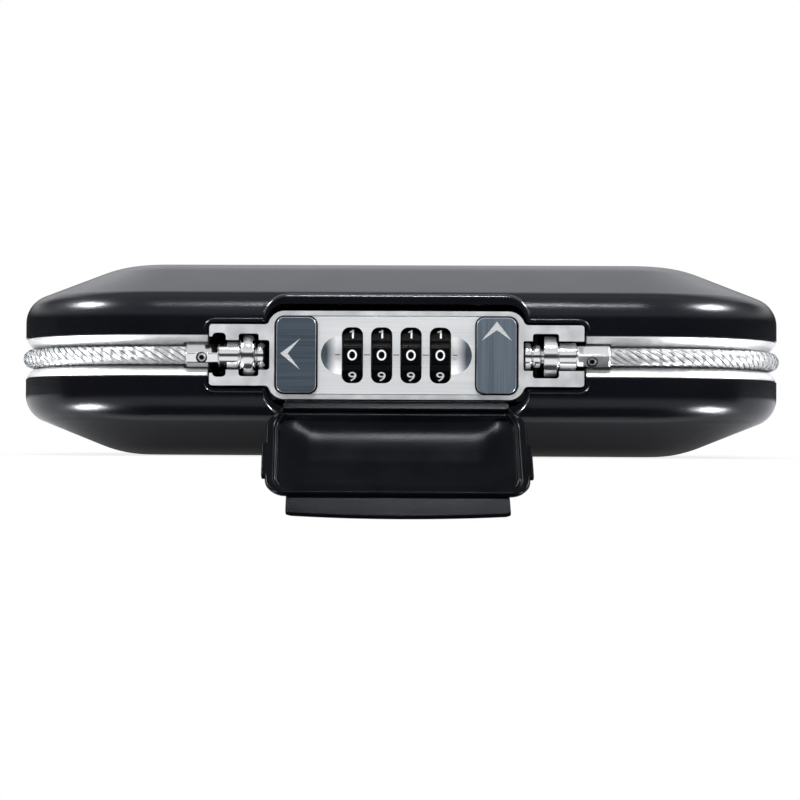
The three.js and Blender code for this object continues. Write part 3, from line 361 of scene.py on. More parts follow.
def shellPlastic(name, specular, rough):
    return surface(name, (0.0012, 0.0013, 0.0028), (0.0028, 0.0031, 0.0054), around(rough, 0.02), 0, (60, 4),
                   fleck=(2300, 1), bumps=[(0.22, 0.00014)], Specular_IOR_Level=specular,
                   Specular_Tint=(0.88, 0.9, 1, 1))


def brushed(name, low, high, metal, rough, scratch, hairs=(0.03, 1, 3.2), paintedWallShade=None):
    # hairlines along X unless told otherwise
    return surface(name, low, high, rough, metal, (700, 5, hairs, 0.65), bumps=[(scratch, 0.00006)],
                   paintedWallShade=paintedWallShade, Anisotropic=0.3)


def plainSteel(name, colour, rough):
    darker = tuple(c * 0.8 for c in colour)
    return surface(name, darker, colour, rough, 1, (300, 4), bumps=[(0.1, 0.00005, 1800, 2)])


def charcoalFoam():
    material = bpy.data.materials.new("charcoalFoam")
    tree = Tree(material)
    place = tree.add("TexCoord").outputs["Object"]
    cells = tree.add("TexVoronoi", Vector=place, Scale=1500).outputs["Distance"]
    tree.fill(tree.nodes["Principled BSDF"], Roughness=0.95, Specular_IOR_Level=0.15,
              Base_Color=tree.blend(cells, (0.008, 0.008, 0.009, 1), (0.04, 0.04, 0.043, 1), (0.1, 0.6)),
              Normal=tree.bump(0.6, 0.0003, cells))
    return material


finishes = {
    "shell": shellPlastic("shellPlastic", 0.3, 0.22),
    "edge": shellPlastic("shellEdge", 0.75, 0.16),
    "silver": surface("satinSilver", (0.62, 0.625, 0.632), (0.73, 0.734, 0.74), (0.4, 0.5), 0.85,
                      (40, 4, (1, 1, 8)), bumps=[(0.06, 0.00004, 900, 2)]),
    "cast": surface("castZinc", (0.64, 0.645, 0.655), (0.76, 0.765, 0.775), (0.3, 0.46), 0.5, (220, 5),
                    bumps=[(0.18, 0.00008, 1500, 3), (0.12, 0.0002, 240, 2)]),
    # the dimple walls of the dial plate are painted darker: painted shade and reflection
    "plate": brushed("brushedPlate", (0.82, 0.825, 0.83), (0.93, 0.935, 0.94), 0.4, (0.28, 0.38), 0.12,
                     paintedWallShade=(0.03, 0.05, 0.07)),
    "cap": brushed("slateCap", (0.054, 0.073, 0.097), (0.089, 0.116, 0.145), 0.5, (0.3, 0.44), 0.25),
    # painted reflection: the open button's cap is a lighter copy of the slate cap, standing in for the
    # reflection it catches; its hairlines run along Z, as the real cap's do
    "paintedReflectionCap": brushed("paintedReflectionSlateCap", (0.115, 0.147, 0.182), (0.175, 0.213, 0.258), 0.5, (0.3, 0.44), 0.25,
                       (3.2, 1, 0.03)),
    "bright": brushed("brightEdge", (0.74, 0.745, 0.75), (0.88, 0.885, 0.89), 0.4, (0.25, 0.35), 0.05),
    "capEdge": brushed("capEdge", (0.34, 0.37, 0.4), (0.46, 0.49, 0.52), 0.7, (0.25, 0.35), 0.05),
    "chrome": surface("chromeMetal", (0.78, 0.785, 0.79), None, (0.1, 0.15), 1, (160, 4),
                      bumps=[(0.02, 0.00001, 500, 2)]),
    "steel": plainSteel("platedSteel", (0.58, 0.585, 0.6), (0.25, 0.45)),
    "blackSteel": plainSteel("blackSteel", (0.02, 0.02, 0.022), (0.4, 0.55)),
    "rubber": surface("blackRubber", (0.0016, 0.0018, 0.0026), (0.0034, 0.0037, 0.005), (0.18, 0.23), 0,
                      (90, 4), bumps=[(0.2, 0.00012, 2200, 2)], Specular_IOR_Level=0.055,
                      Specular_Tint=(0.9, 0.92, 1, 1)),
    "dial": surface("dialBlack", (0.0012, 0.0012, 0.0014), None, (0.24, 0.38), 0, (700, 3),
                    bumps=[(0.08, 0.00005)], Specular_IOR_Level=0.08),
    "numeral": surface("numeralWhite", (0.86, 0.87, 0.88), None, (0.4, 0.6), 0, (3000, 2)),
    "foam": charcoalFoam(),
    "vinyl": surface("clearVinyl", (0.98, 0.985, 0.99), None, (0.02, 0.06), 0, (300, 2),
                     Transmission_Weight=1, IOR=1.08),
    "wire": surface("ropeWire", (0.62, 0.625, 0.63), (0.78, 0.785, 0.79), (0.28, 0.4), 0.7, (900, 3),
                    bumps=[(0.1, 0.00004)]),
}
print("finishes ready:", len(finishes))


# Case outline
def caseRing(inset, height):
    outline = roundOutline(case["halfWidth"] - inset, case["halfDepth"] - inset,
                           case["cornerRadius"] - inset, case["cornerSteps"])
    return [(x, y, height) for x, y in outline]


def roundCorner(before, corner, after, radius, steps):
    before, corner, after = Vector(before), Vector(corner), Vector(after)
    a, b = (before - corner).normalized(), (after - corner).normalized()
    half = a.angle(b) / 2
    centre = corner + (a + b).normalized() * (radius / sin(half))
    start = corner + a * (radius / tan(half)) - centre
    end = corner + b * (radius / tan(half)) - centre
    turn = atan2(start.x * end.y - start.y * end.x, start.dot(end))
    return [centre + Matrix.Rotation(turn * s / steps, 2) @ start for s in range(steps + 1)]


def wallOutline(sideOffset, topOffset, edge, arcs=(10, 8)):
    rise = tan(case["crownSlope"])
    drop = topOffset / cos(case["crownSlope"])
    foot = Vector((sideOffset, edge))
    shoulder = Vector((sideOffset, case["shoulderHeight"] + sideOffset * rise - drop))
    top = case["halfHeight"] - topOffset
    crown = Vector(((top - case["shoulderHeight"] + drop) / rise, top))
    middle = Vector((case["halfDepth"], top))
    return [
        foot,
        *roundCorner(foot, shoulder, crown, case["shoulderRadius"] - topOffset, arcs[0]),
        *roundCorner(shoulder, crown, middle, case["crownRadius"] - topOffset, arcs[1]),
    ]


def cup(name, outer, inner, side):
    return loft(name, [caseRing(p[0], side * p[1]) for p in [*reversed(outer), *inner]])


lock = {"halfWidth": 38.6, "halfHeight": 13.25, "radius": 5, "front": -90, "back": -64}
ear = {"reach": 56.3, "halfHeight": 9.2, "radius": 1.6, "front": -89.5, "back": -76, "blend": 1.6}
hood = {"halfWidth": 40.3, "halfHeight": 18.4, "radius": 7.5, "front": -90.3, "root": -82.3, "bevel": 1.1}
gap = {"lock": 0.5, "lockHeight": 15.4, "ear": 0.9}
earRim = {"width": 1.2, "front": -87.2, "root": -83.6}
hinge = {"x": 42, "y": 88, "z": 9, "barrel": 3.5, "pin": 1.5, "bore": 1.8, "knuckle": 9.6, "armBottom": 3.6,
         "armTop": 6.4, "leafFront": 74.2, "leafBack": 77.2, "lidBridge": 9.6, "lidTop": 12.9, "wing": 7.4}
hinge["half"] = 1.5 * hinge["knuckle"] + seat
hinge["slot"] = hinge["half"] + 0.6
lugs = {"x": 43, "y": -67, "reach": 4, "top": -10.25, "thickness": 3, "post": 3, "foot": 7}
strikeSeat = {"x": 14, "y": -57, "top": 22.7, "post": 3, "rise": 4.6}
cable = {"radius": 3, "inset": 2.2}
cable["line"] = -(case["halfDepth"] - cable["inset"])
channel = {"lip": 0.3, "edge": case["edge"] - seat, "split": 0.15, "inner": 8.5, "tongueOuter": 2.8,
           "tongueInner": 4.6, "tongueTop": 11.5}
notch = {"halfWidth": 48, "back": -50}


def blendWedge(s, t, y, line, middle, reach, radius, steps=8):
    # fills the corner between an ear's edge and the rounded corner of the lock block
    cx, cz = middle
    fz = line + radius
    fx = cx + sqrt((reach + radius) ** 2 - (fz - cz) ** 2)
    end = atan2(cz - fz, cx - fx)
    arc = [onCircle(fx, fz, radius, -pi / 2 + (end + pi / 2) * k / steps) for k in range(steps + 1)]
    return plate([(s * px, t * pz) for px, pz in ((cx, cz), (fx, line - 1), *arc)], y)


def lockOpening(side):
    deep = (hood["front"] - over, -case["halfDepth"] + case["shoulderRadius"])
    wide, high = lock["halfWidth"] + gap["lock"], gap["lockHeight"]
    corner = lock["radius"] + gap["lock"]
    earWide, earHigh = ear["reach"] + gap["ear"], ear["halfHeight"] + gap["ear"]
    inner, bend = (wide - corner, high - corner), ear["blend"] - gap["lock"]
    return [
        tile(wide, high, corner, deep),
        tile(earWide, earHigh, ear["radius"] + gap["ear"], deep),
        *[blendWedge(s, side, deep, earHigh, inner, corner, bend) for s in (-1, 1)],
    ]


def shellPiece(side):
    name = "lid" if side > 0 else "base"
    wall, edge = case["wall"], case["edge"]
    body = cup(name, wallOutline(0, 0, edge), wallOutline(wall, wall, edge), side)
    rim = tile(hood["halfWidth"], hood["halfHeight"], hood["radius"], (hood["front"], hood["root"]), 12)
    soften(rim, hood["bevel"], 4)
    grown = gap["ear"] + earRim["width"]
    reach = ear["reach"] + grown
    low = tile(reach, ear["halfHeight"] + grown, ear["radius"] + grown, (earRim["front"], earRim["root"]))
    soften(low, 0.4, 3)
    for part in (rim, low):
        keep(part, block(reach + over, (hood["front"] - over, hood["root"] + over),
                         ordered(side, (edge, 3 * edge))))
    join(body, rim, low)
    if side > 0:
        under, span = strikeSeat, (strikeSeat["top"] + seat, strikeSeat["top"] + strikeSeat["rise"])
    else:
        under, span = lugs, (-case["halfHeight"] + lugs["foot"], lugs["top"] - lugs["thickness"] - seat)
    join(body, *[rod("z", under["post"], span, s * under["x"], under["y"]) for s in (-1, 1)])
    tools = lockOpening(side)
    if side > 0:
        tools += [block(around(s * hinge["x"], hinge["slot"]),
                        (case["halfDepth"] - wall - over, case["halfDepth"] + over),
                        (edge - over, hinge["lidTop"] + seat)) for s in (-1, 1)]
    cut(body, *tools)
    soften(body, 0.35, 3, 48)
    made = piece(body, name + "Shell", "shell", name, "shell", [name + "_shell"], 38, ["edge"])
    for face in made.data.polygons:  # the rounded edges of the hood and the ear rims are glossier
        if face.center.y < (-case["halfDepth"] - 0.1) * mm and 0.15 < abs(face.normal.y) < 0.98:
            face.material_index = 1


def framePiece(side):
    name = "lid" if side > 0 else "base"
    radius, depth, edge = cable["radius"] + seat, case["halfDepth"], channel["edge"]
    turns = [(86 - s * 8.4) * deg for s in range(11)]
    profile = [
        (channel["lip"], edge), (channel["lip"] + 0.25, edge - 0.75), (1.3, 4.35),
        *[(cable["inset"] + radius * cos(t), max(radius * sin(t), channel["split"])) for t in turns],
        (channel["inner"], channel["split"]), (channel["inner"], edge),
        (channel["tongueInner"], edge), (channel["tongueInner"], channel["tongueTop"]),
        (channel["tongueOuter"], channel["tongueTop"]), (channel["tongueOuter"], edge),
    ]
    ring = loft(name, [caseRing(inset, side * height) for inset, height in profile], True)
    tools = [block(ear["reach"] + gap["ear"], (-depth - over, notch["back"]), 20)]
    tools += [rod("x", 4, ordered(s, (64.6, 50)), cable["line"], 0) for s in (-1, 1)]
    if side > 0:
        deep = (depth - channel["inner"] - over, depth + over)
        for x in (-hinge["x"], hinge["x"]):
            tools += [block(around(x, hinge["slot"]), deep, (-over, hinge["armTop"] + seat)),
                      block(around(x, hinge["knuckle"] / 2 + seat), deep, (hinge["lidBridge"] - seat, 20))]
    cut(ring, *tools)
    soften(ring, 0.18, 2, 50)
    piece(ring, name + "Frame", "silver", name, "channel_frame", [name + "_frame"], 35)


for makePiece in (shellPiece, framePiece):
    for side in (-1, 1):
        makePiece(side)
print("case done")


# Foam liners with a convoluted floor
def foamPiece(side):
    name = "lid" if side > 0 else "base"
    look = {"offset": 4.9, "thickness": 4, "edge": 6.6, "wave": 13, "height": 1.3, "floor": (78, 44),
            "middle": 4, "columns": 96, "rows": 58, "slope": 6, "sheet": 1}
    thick, depth = look["thickness"], case["halfDepth"]
    outer = wallOutline(look["offset"], case["wall"] + 2 * seat, look["edge"], (6, 4))
    inner = wallOutline(look["offset"] + thick, case["wall"] + seat + thick, look["edge"], (6, 4))
    liner = cup(name, outer, inner, side)
    reach = hinge["slot"] + hinge["wing"] + seat
    cut(liner,
        block(notch["halfWidth"], (-depth, notch["back"]), case["halfHeight"]),
        block(ear["reach"] + gap["ear"], (-depth, ear["back"] + seat), ear["halfHeight"] + gap["ear"]),
        *[block(around(s * hinge["x"], reach), (hinge["leafFront"] - seat, depth), hinge["lidTop"] + seat)
          for s in (-1, 1)])
    soften(liner, 0.5, 2, 40)
    floorX, floorY = look["floor"]
    columns, rows = look["columns"], look["rows"]
    base = case["halfHeight"] - case["wall"] - seat - thick + 0.2
    points = []
    for j in range(rows + 1):
        for i in range(columns + 1):
            x, y = floorX * (2 * i / columns - 1), floorY * (2 * j / rows - 1)
            edge = min(1, (floorX - abs(x)) / look["slope"], (floorY - abs(y)) / look["slope"])
            bump = cos(2 * pi * x / look["wave"]) * cos(2 * pi * y / look["wave"])
            height = base - edge * look["height"] * (1 + bump) / 2 - 0.1
            points.append((x, y + look["middle"], side * height))
    across = columns + 1
    faces = [(a, a + 1, a + across + 1, a + across)
             for j in range(rows) for a in range(j * across, j * across + columns)]
    floor = newObject(name + "Floor", points, faces)
    mod = floor.modifiers.new("body", "SOLIDIFY")
    mod.thickness = look["sheet"]
    mod.offset = 0
    remade(floor)
    for part, called, stands, angle in ((liner, "Foam", [name + "_foam"], 50), (floor, "FoamFloor", (), 80)):
        made = piece(part, name + called, "foam", name, "foam", stands, angle)


foamPiece(-1)
foamPiece(1)
print("foam done")


# Tether cable: wire strands laid round a core, under a clear skin
def cablePath(step, start=63.5):
    radius = case["cornerRadius"] - cable["inset"]
    halfX, halfY = case["halfWidth"] - cable["inset"] - radius, -cable["line"] - radius
    count = round(radius * pi / 2 / step)
    points = []

    def straight(a, b):
        parts = max(1, round((b - a).length / step))
        points.extend(a.lerp(b, i / parts) for i in range(parts))

    here = Vector((-start, cable["line"], 0))
    for corner, (sx, sy) in enumerate(((-1, -1), (-1, 1), (1, 1), (1, -1))):
        centre = Vector((sx * halfX, sy * halfY, 0))
        turns = [(1.5 - 0.5 * corner - 0.5 * i / count) * pi for i in range(count + 1)]
        arc = [centre + Vector((cos(t), sin(t), 0)) * radius for t in turns]
        straight(here, arc[0])
        points += arc[:-1]
        here = arc[-1]
    end = Vector((start, cable["line"], 0))
    straight(here, end)
    return [*points, end]


def sweep(path, radius, corners, laid=0.0, pitch=1.0, phase=0.0):
    # a tube that follows the path, or winds round it at the laid radius
    up = Vector((0, 0, 1))

    def heading(line, i):
        return (line[min(i + 1, len(line) - 1)] - line[max(i - 1, 0)]).normalized()

    along = 0.0
    centres, turns = [], []
    for i, p in enumerate(path):
        across = heading(path, i).cross(up)
        if i:
            along += (p - path[i - 1]).length
        turns.append(phase + 2 * pi * along / pitch)
        centres.append(p + (across * cos(turns[i]) + up * sin(turns[i])) * laid)
    points = []
    for i, c in enumerate(centres):
        ahead = heading(centres, i)
        side = ahead.cross(up).normalized()
        lift = side.cross(ahead).normalized()
        for k in range(corners):
            t = turns[i] + 2 * pi * k / corners
            points.append(c + (side * cos(t) + lift * sin(t)) * radius)
    faces = [(i * corners + k, i * corners + (k + 1) % corners, (i + 1) * corners + (k + 1) % corners,
              (i + 1) * corners + k) for i in range(len(centres) - 1) for k in range(corners)]
    return points, faces


def cablePieces():
    # eight strands of three wires each, laid left to right and down as seen from the front
    look = {"strands": 8, "wires": 3, "wire": 0.27, "laid": 2.44, "raise": 0.14, "spread": 0.215,
            "pitch": -22, "core": 2.05, "skin": 2.97, "step": 1.4, "skinStep": 3.2}
    path = cablePath(look["step"])
    points, faces = [], []
    for k in range(look["strands"]):
        for w in range(look["wires"]):
            offCentre = w - (look["wires"] - 1) / 2
            laid = look["laid"] - (look["raise"] if offCentre else 0)
            phase = 2 * pi * k / look["strands"] + offCentre * look["spread"]
            p, f = sweep(path, look["wire"], 6, laid, look["pitch"], phase)
            faces += [tuple(v + len(points) for v in face) for face in f]
            points += p
    piece(newObject("rope", points, faces), "tetherRope", "wire", "base", "cable", ["tether_cable"], 75)
    # the core is painted black: painted shade between the strands
    core = newObject("core", *sweep(path, look["core"], 10))
    piece(core, "tetherCore", "dial", "base", "cable", (), 60)
    skin = newObject("skin", *sweep(cablePath(look["skinStep"]), look["skin"], 28))
    piece(skin, "tetherSkin", "vinyl", "base", "cable", (), 60)


cablePieces()
print("cable done")

# Plugs: (place from the middle, radius) along the tip, (from, to) for the other parts, corners in degrees
plugs = {
    -1: {"name": "left", "hex": (53.8, 63.6), "neck": (47.2, 53.8), "collar": (42.5, 47.2), "turn": 15,
         "tip": [(39.3, 2.8), (39.6, 3.45), (40.5, 3.95), (41.3, 4.05), (41.9, 3.9), (42.15, 3.4),
                 (42.48, 3.3)],
         "hexCorners": (12, 83, 129, 180, 238, 305)},
    1: {"name": "right", "hex": (54.4, 64.2), "neck": (48.4, 54.4), "collar": (44.2, 48.4), "turn": 33,
        "tip": [(38.25, 3.4), (38.45, 4), (38.9, 4.2), (40.1, 4.2), (40.5, 3.9), (40.7, 3.1), (40.9, 3.3),
                (41.2, 3.75), (42, 3.95), (43, 3.9), (43.5, 3.5), (43.7, 2.7), (44.18, 2.6)],
        "hexCorners": (-33, 27, 87, 147, 207, 267)},
}
plugSize = {"axis": cable["line"] - 0.9, "hex": 3.6, "neck": 4.2, "collar": 6.2, "root": 2.6, "screwX": 58.8,
            "hole": 1.7, "holeFloor": -1.2, "grub": 1.24, "socket": 0.88}


def plugPiece(s):
    span, size = plugs[s], plugSize
    (near, far), (neckStart, neckEnd) = span["collar"], span["neck"]
    hexStart, radius, thick = span["hex"][0], size["collar"], size["neck"]
    if s < 0:  # a domed collar
        collar = [(near + (far - near) * k / 14, radius - abs(k / 7 - 0.98) ** 3) for k in range(15)]
    else:
        collar = [(near, radius - 0.5), (near + 0.15, radius - 0.15), (near + 0.5, radius),
                  (far - 0.5, radius), (far - 0.15, radius - 0.15), (far, radius - 0.5)]
    profile = [
        *span["tip"], *collar,
        (neckStart + 0.02, thick - 0.5), (neckStart + 0.5, thick - 0.1), (neckStart + 0.8, thick),
        (neckEnd - 0.5, thick), (neckEnd, thick - 0.5),
        (hexStart + 0.02, size["root"]), (hexStart + 1, size["root"]),
    ]
    body = turned("x", [(s * a, r) for a, r in profile], size["axis"], 0, 64)
    corners = [(size["axis"] - size["hex"] * sin(a * deg), size["hex"] * cos(a * deg))
               for a in span["hexCorners"]]
    hexBody = drawnOut(corners, ordered(s, span["hex"]))
    soften(hexBody, 0.3, 3)
    tilt = Matrix.Translation((0, size["axis"], 0)) @ Matrix.Rotation(span["turn"] * deg, 4, "X")
    screwX, floor = s * size["screwX"], size["holeFloor"]
    hole = rod("y", size["hole"], (-size["hex"] - over, floor), screwX, 0)
    hole.data.transform(tilt)
    cut(hexBody, hole)
    soften(hexBody, 0.08, 2, 60)
    name, side = span["name"].capitalize(), span["name"]
    piece(body, "plug" + name, "chrome", "base", "cable_plug", ["cable_plug_" + side], 38)
    piece(hexBody, "crimpBlock" + name, "chrome", "base", "cable_plug", (), 38)
    front = -size["hex"] * cos(30 * deg) + 0.05
    grub = turned("y", [(front, size["grub"] - 0.18), (front + 0.15, size["grub"]), (-1.5, size["grub"])],
                  screwX, 0)
    socket = circle(screwX, 0, size["socket"], 6)
    cut(grub, plate(socket, (front - over, front + 1.1)))
    grub.data.transform(tilt)
    piece(grub, "setScrew" + name, "steel", "base", "screw", ["set_screw_" + side], 35)
    # painted shadow: a black disc at the hole's floor and a black hexagon inside the grub screw's socket
    shadow = rod("y", size["hole"] - 0.02, (floor - 0.04, floor), screwX, 0)
    join(shadow, plate(socket, (front + 0.8, front + 0.95)))
    shadow.data.transform(tilt)
    piece(shadow, "screwHoleShadow" + name, "dial", "base", "screw", (), 35)


plugPiece(-1)
plugPiece(1)
print("plugs done")

# Lock housing
tray = {"halfWidth": 36.7, "halfHeight": 11.85, "radius": 3, "floor": -88.3}
bay = {"front": -85.3, "halfHeight": 11.3, "dials": 19, "wall": 1.6, "reach": 36.6, "windows": 10.9}
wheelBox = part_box("code_dial_1")
dial = {"width": 5.8, "pitch": 8.8, "bore": 2.3, "cam": 4.7, "flat": 12, "notch": (15.2, 20.8),
        "notchDepth": 0.45}
dial["radius"] = (wheelBox[1][2] - wheelBox[0][2]) / 2 / mm / cos(dial["flat"] * deg)
dial["y"] = (wheelBox[0][1] + wheelBox[1][1]) / 2 / mm
dialPlaces = [(i - 1.5) * dial["pitch"] for i in range(4)]
pane = {"width": 6.4, "height": 16.8, "radius": 2.4}
button = {"x": 30, "width": 11.9, "height": 22.7, "radius": 2.4, "front": -91.6, "back": -90.3, "travel": 3}
neck = {"halfWidth": 2.5, "halfHeight": 4}
pockets = {  # (from, to, radius, corner) of the troughs for each plug
    -1: [(38.1, 44, 4.5, 0.9), (41.4, 47.45, 6.45, 0.9)],
    1: [(38.1, 44, 4.5, 0.6), (40.9, 48.75, 6.7, 0.9)],
}
earNotch = {"span": (51.3, 55.4), "halfHeight": 6.65, "radius": 1.3, "end": 2, "endHalf": 5.5,
            "dark": 6.75}


def earCuts(s):
    cuts = []
    for start, end, radius, corner in [(47, ear["reach"] + over, plugSize["neck"] + 0.3, 0.3), *pockets[s]]:
        span = ordered(s, (start, end))
        outline = roundOutline(span, radius, corner)
        cuts += [rod("x", radius, span, plugSize["axis"], 0),
                 plate(outline, (lock["front"] - over, plugSize["axis"]))]
    if s < 0:
        deep, size = (lock["front"] - over, ear["back"] + over), earNotch
        end = ordered(s, (ear["reach"] - size["end"], ear["reach"] + over))
        outline = roundOutline(ordered(s, size["span"]), size["halfHeight"], size["radius"])
        cuts += [plate(outline, deep), block(end, deep, size["endHalf"])]
    return cuts


def neckSlots(deep):
    # room for the buttons' necks and their travel
    tall, wide = neck["halfHeight"] + seat, neck["halfWidth"] + seat
    return [block((-button["x"] - wide - button["travel"], -button["x"] + wide), deep, tall),
            block(around(button["x"], wide), deep, (-tall, tall + button["travel"]))]


def housingPiece():
    body = tile(lock["halfWidth"], lock["halfHeight"], lock["radius"], (lock["front"], lock["back"]), 10)
    thick, radius = (ear["front"], ear["back"]), lock["radius"]
    ears = tile(ear["reach"], ear["halfHeight"], 0.9, thick)
    inner = (lock["halfWidth"] - radius, lock["halfHeight"] - radius)
    join(body, ears, *[blendWedge(s, t, thick, ear["halfHeight"], inner, radius, ear["blend"])
                       for s in (-1, 1) for t in (-1, 1)])
    join(body, *[block(ordered(s, (lock["halfWidth"] - 2, lugs["x"] + lugs["reach"])),
                       around(lugs["y"], lugs["post"]), (lugs["top"] - lugs["thickness"], lugs["top"]))
                 for s in (-1, 1)])
    soften(body, 0.35, 3, 60)
    through, height = (bay["front"], lock["back"] + over), bay["halfHeight"]
    deep = (tray["floor"] - over, bay["front"] + over)
    aside = (bay["dials"] + bay["wall"], bay["reach"])
    tools = [tile(tray["halfWidth"], tray["halfHeight"], tray["radius"],
                  (lock["front"] - over, tray["floor"])),
             block(bay["dials"], through, height)]
    tools += [block(ordered(s, aside), through, height) for s in (-1, 1)]
    tools += [block(around(x, pane["width"] / 2 + seat), deep, bay["windows"]) for x in dialPlaces]
    tools += neckSlots(deep)
    for node, way in (("open_button_spring", 1), ("release_spring", -1)):  # room for the springs
        low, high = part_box(node)
        tools.append(rod("z", (high[0] - low[0]) / 2 / mm + seat, ordered(way, (bay["halfHeight"] - 1, 16)),
                         (low[0] + high[0]) / 2 / mm, (low[1] + high[1]) / 2 / mm, 24))
    cut(body, *tools, *earCuts(-1), *earCuts(1))
    soften(body, 0.22, 2, 42)
    made = piece(body, "lockHousing", "cast", "base", "cast_housing", ["lock_housing"], 35, ["dial"])
    for face in made.data.polygons:  # painted shade: the pockets' walls and floors get the black dial finish
        x, y, z = (c / mm for c in face.center)
        paintedShadeZone = (lock["halfWidth"] - 0.6 < abs(x) < ear["reach"] - 0.05
                    and abs(z - seamHeight / mm) < earNotch["dark"])
        deep = y > plugSize["axis"] or face.normal.y < -0.7 or abs(face.normal.x) > 0.5
        if paintedShadeZone and deep and ear["front"] + 0.3 < y < ear["back"] - 0.1:
            face.material_index = 1


def dialPlatePiece():
    # fills the tray, with slots for the buttons' necks, windows and a dimple at each end of the dials
    look = {"halfWidth": 36.5, "halfHeight": 11.65, "radius": 2.9, "front": -89.8, "dimple": 5.7,
            "dimpleX": 17, "ball": 14, "dip": 0.95, "mark": 18.4, "markHalf": 0.11}
    front = look["front"]
    body = tile(look["halfWidth"], look["halfHeight"], look["radius"], (front, tray["floor"] - seat))
    soften(body, 0.12, 2, 40)
    through = (front - over, tray["floor"] + over)
    cut(body, *neckSlots(through))
    wide = look["dimple"] / sqrt(look["ball"] ** 2 - (look["ball"] - look["dip"]) ** 2)
    for x in (-look["dimpleX"], look["dimpleX"]):
        bm = bmesh.new()
        bmesh.ops.create_uvsphere(bm, u_segments=64, v_segments=48, radius=look["ball"])
        bmesh.ops.scale(bm, vec=(wide, 1, wide), verts=bm.verts)
        bmesh.ops.translate(bm, vec=(x, front + look["dip"] - look["ball"], 0), verts=bm.verts)
        ball = bpy.data.meshes.new("ball")
        bm.to_mesh(ball)
        bm.free()
        cut(body, linked("ball", ball))
    half = pane["width"] / 2
    cut(body, *[tile(half, pane["height"] / 2, pane["radius"], through, 10, x) for x in dialPlaces])
    piece(body, "dialPlate", "plate", "base", "dial_plate", ["dial_plate"], 12)
    first = (-look["mark"], dialPlaces[0] - half - 0.6)
    spans = [first] + [(a + half + 0.3, b - half - 0.3) for a, b in zip(dialPlaces, dialPlaces[1:])]
    spans.append((-first[1], -first[0]))
    strokes = [block(x, (front - 0.02, front + 0.3), around(0.1, look["markHalf"])) for x in spans]
    piece(join(*strokes), "indexLine", "dial", "base", "dial_plate", (), 35)


housingPiece()
dialPlatePiece()
print("housing done")

# Code dials with their numerals: the zero is a ring and the one an outline, the rest are letters of the font
numeral = {"size": 4.7, "wide": 1.2, "thickness": 0.04, "height": 3.2, "stem": 0.5, "flag": 0.75,
           "ring": (1.42, 1.6), "line": 0.5}


def digitShape(value):
    thick = numeral["thickness"]
    if value == 0:
        rings = []
        for inner, z in ((0, -thick), (0, thick), (1, thick), (1, -thick)):
            a, b = (r - numeral["line"] * inner for r in numeral["ring"])
            rings.append([(a * u, b * v, z) for u, v in circle(0, 0, 1, 40)])
        return loft("zero", rings, True)
    if value == 1:
        high, flag, right = numeral["height"], numeral["flag"], numeral["stem"] * 0.75
        left = right - numeral["stem"]
        outline = [(right, 0), (right, high), (right - 0.42, high), (left - 0.2, high - 0.4),
                   (left - flag, high - 0.62), (left - flag, high - 1.02), (left, high - 0.86), (left, 0)]
        return loft("one", [[(x, y, z) for x, y in outline] for z in (-thick, thick)])
    curve = bpy.data.curves.new("digit", "FONT")
    curve.body = str(value)
    curve.size = numeral["size"]
    curve.align_x, curve.align_y = "CENTER", "CENTER"
    curve.extrude = thick
    curve.resolution_u = 6
    text = linked("digit", curve)
    bpy.context.view_layer.update()
    mesh = bpy.data.meshes.new_from_object(text.evaluated_get(bpy.context.evaluated_depsgraph_get()))
    mesh.transform(Matrix.Scale(numeral["wide"], 4, (1, 0, 0)))
    bpy.data.objects.remove(text)
    return linked("digit", mesh)


def dialPiece(number):
    x, flat, full = dialPlaces[number - 1], dial["flat"], dial["radius"]
    low = full - dial["notchDepth"]
    outline = []
    for k in range(10):
        for part, radius in ((-flat, full), (flat, full), (dial["notch"][0], low), (dial["notch"][1], low)):
            outline.append(onCircle(dial["y"], 0, radius, (k * 36 + part) * deg))
    wheel = drawnOut(outline, around(x, dial["width"] / 2))
    soften(wheel, 0.22, 2, 20)
    join(wheel, rod("x", dial["cam"], (x, x + dial["pitch"] - dial["width"] / 2 - seat), dial["y"], 0))
    cut(wheel, rod("x", dial["bore"], around(x, dial["pitch"] + over), dial["y"], 0))
    body = "dial_%d" % number
    piece(wheel, "codeDial%d" % number, "dial", body, "code_dial", ["code_dial_%d" % number], 30)
    digits = []
    outward = Matrix.Translation((0, -full * cos(flat * deg) - 0.03, 0))
    outward @= Matrix.Rotation(90 * deg, 4, "X")
    for value in range(10):
        digit = digitShape(value)
        heights = [v.co.y for v in digit.data.vertices]
        digit.data.transform(Matrix.Translation((0, -(min(heights) + max(heights)) / 2, 0)))
        roll = Matrix.Rotation(-value * 36 * deg, 4, "X")
        digit.data.transform(Matrix.Translation((x, dial["y"], 0)) @ roll @ outward)
        digits.append(digit)
    piece(gathered(*digits), "numerals%d" % number, "numeral", body, "code_dial", (), 0)


for number in range(1, 5):
    dialPiece(number)
print("dials done")

# Buttons: slate caps with a bright bevel and a silver arrow let into each
caps = {
    -1: {"name": "release", "finish": "cap", "arrow": [(-4.75, 0.4), (1.4, 5.05), (-2.5, 0.4), (1.2, -4.5)]},
    # the open cap's lighter finish is painted reflection
    1: {"name": "open", "finish": "paintedReflectionCap", "arrow": [(0.1, 10.2), (-4.6, 4.3), (0.1, 7.6), (4.7, 4.3)]},
}


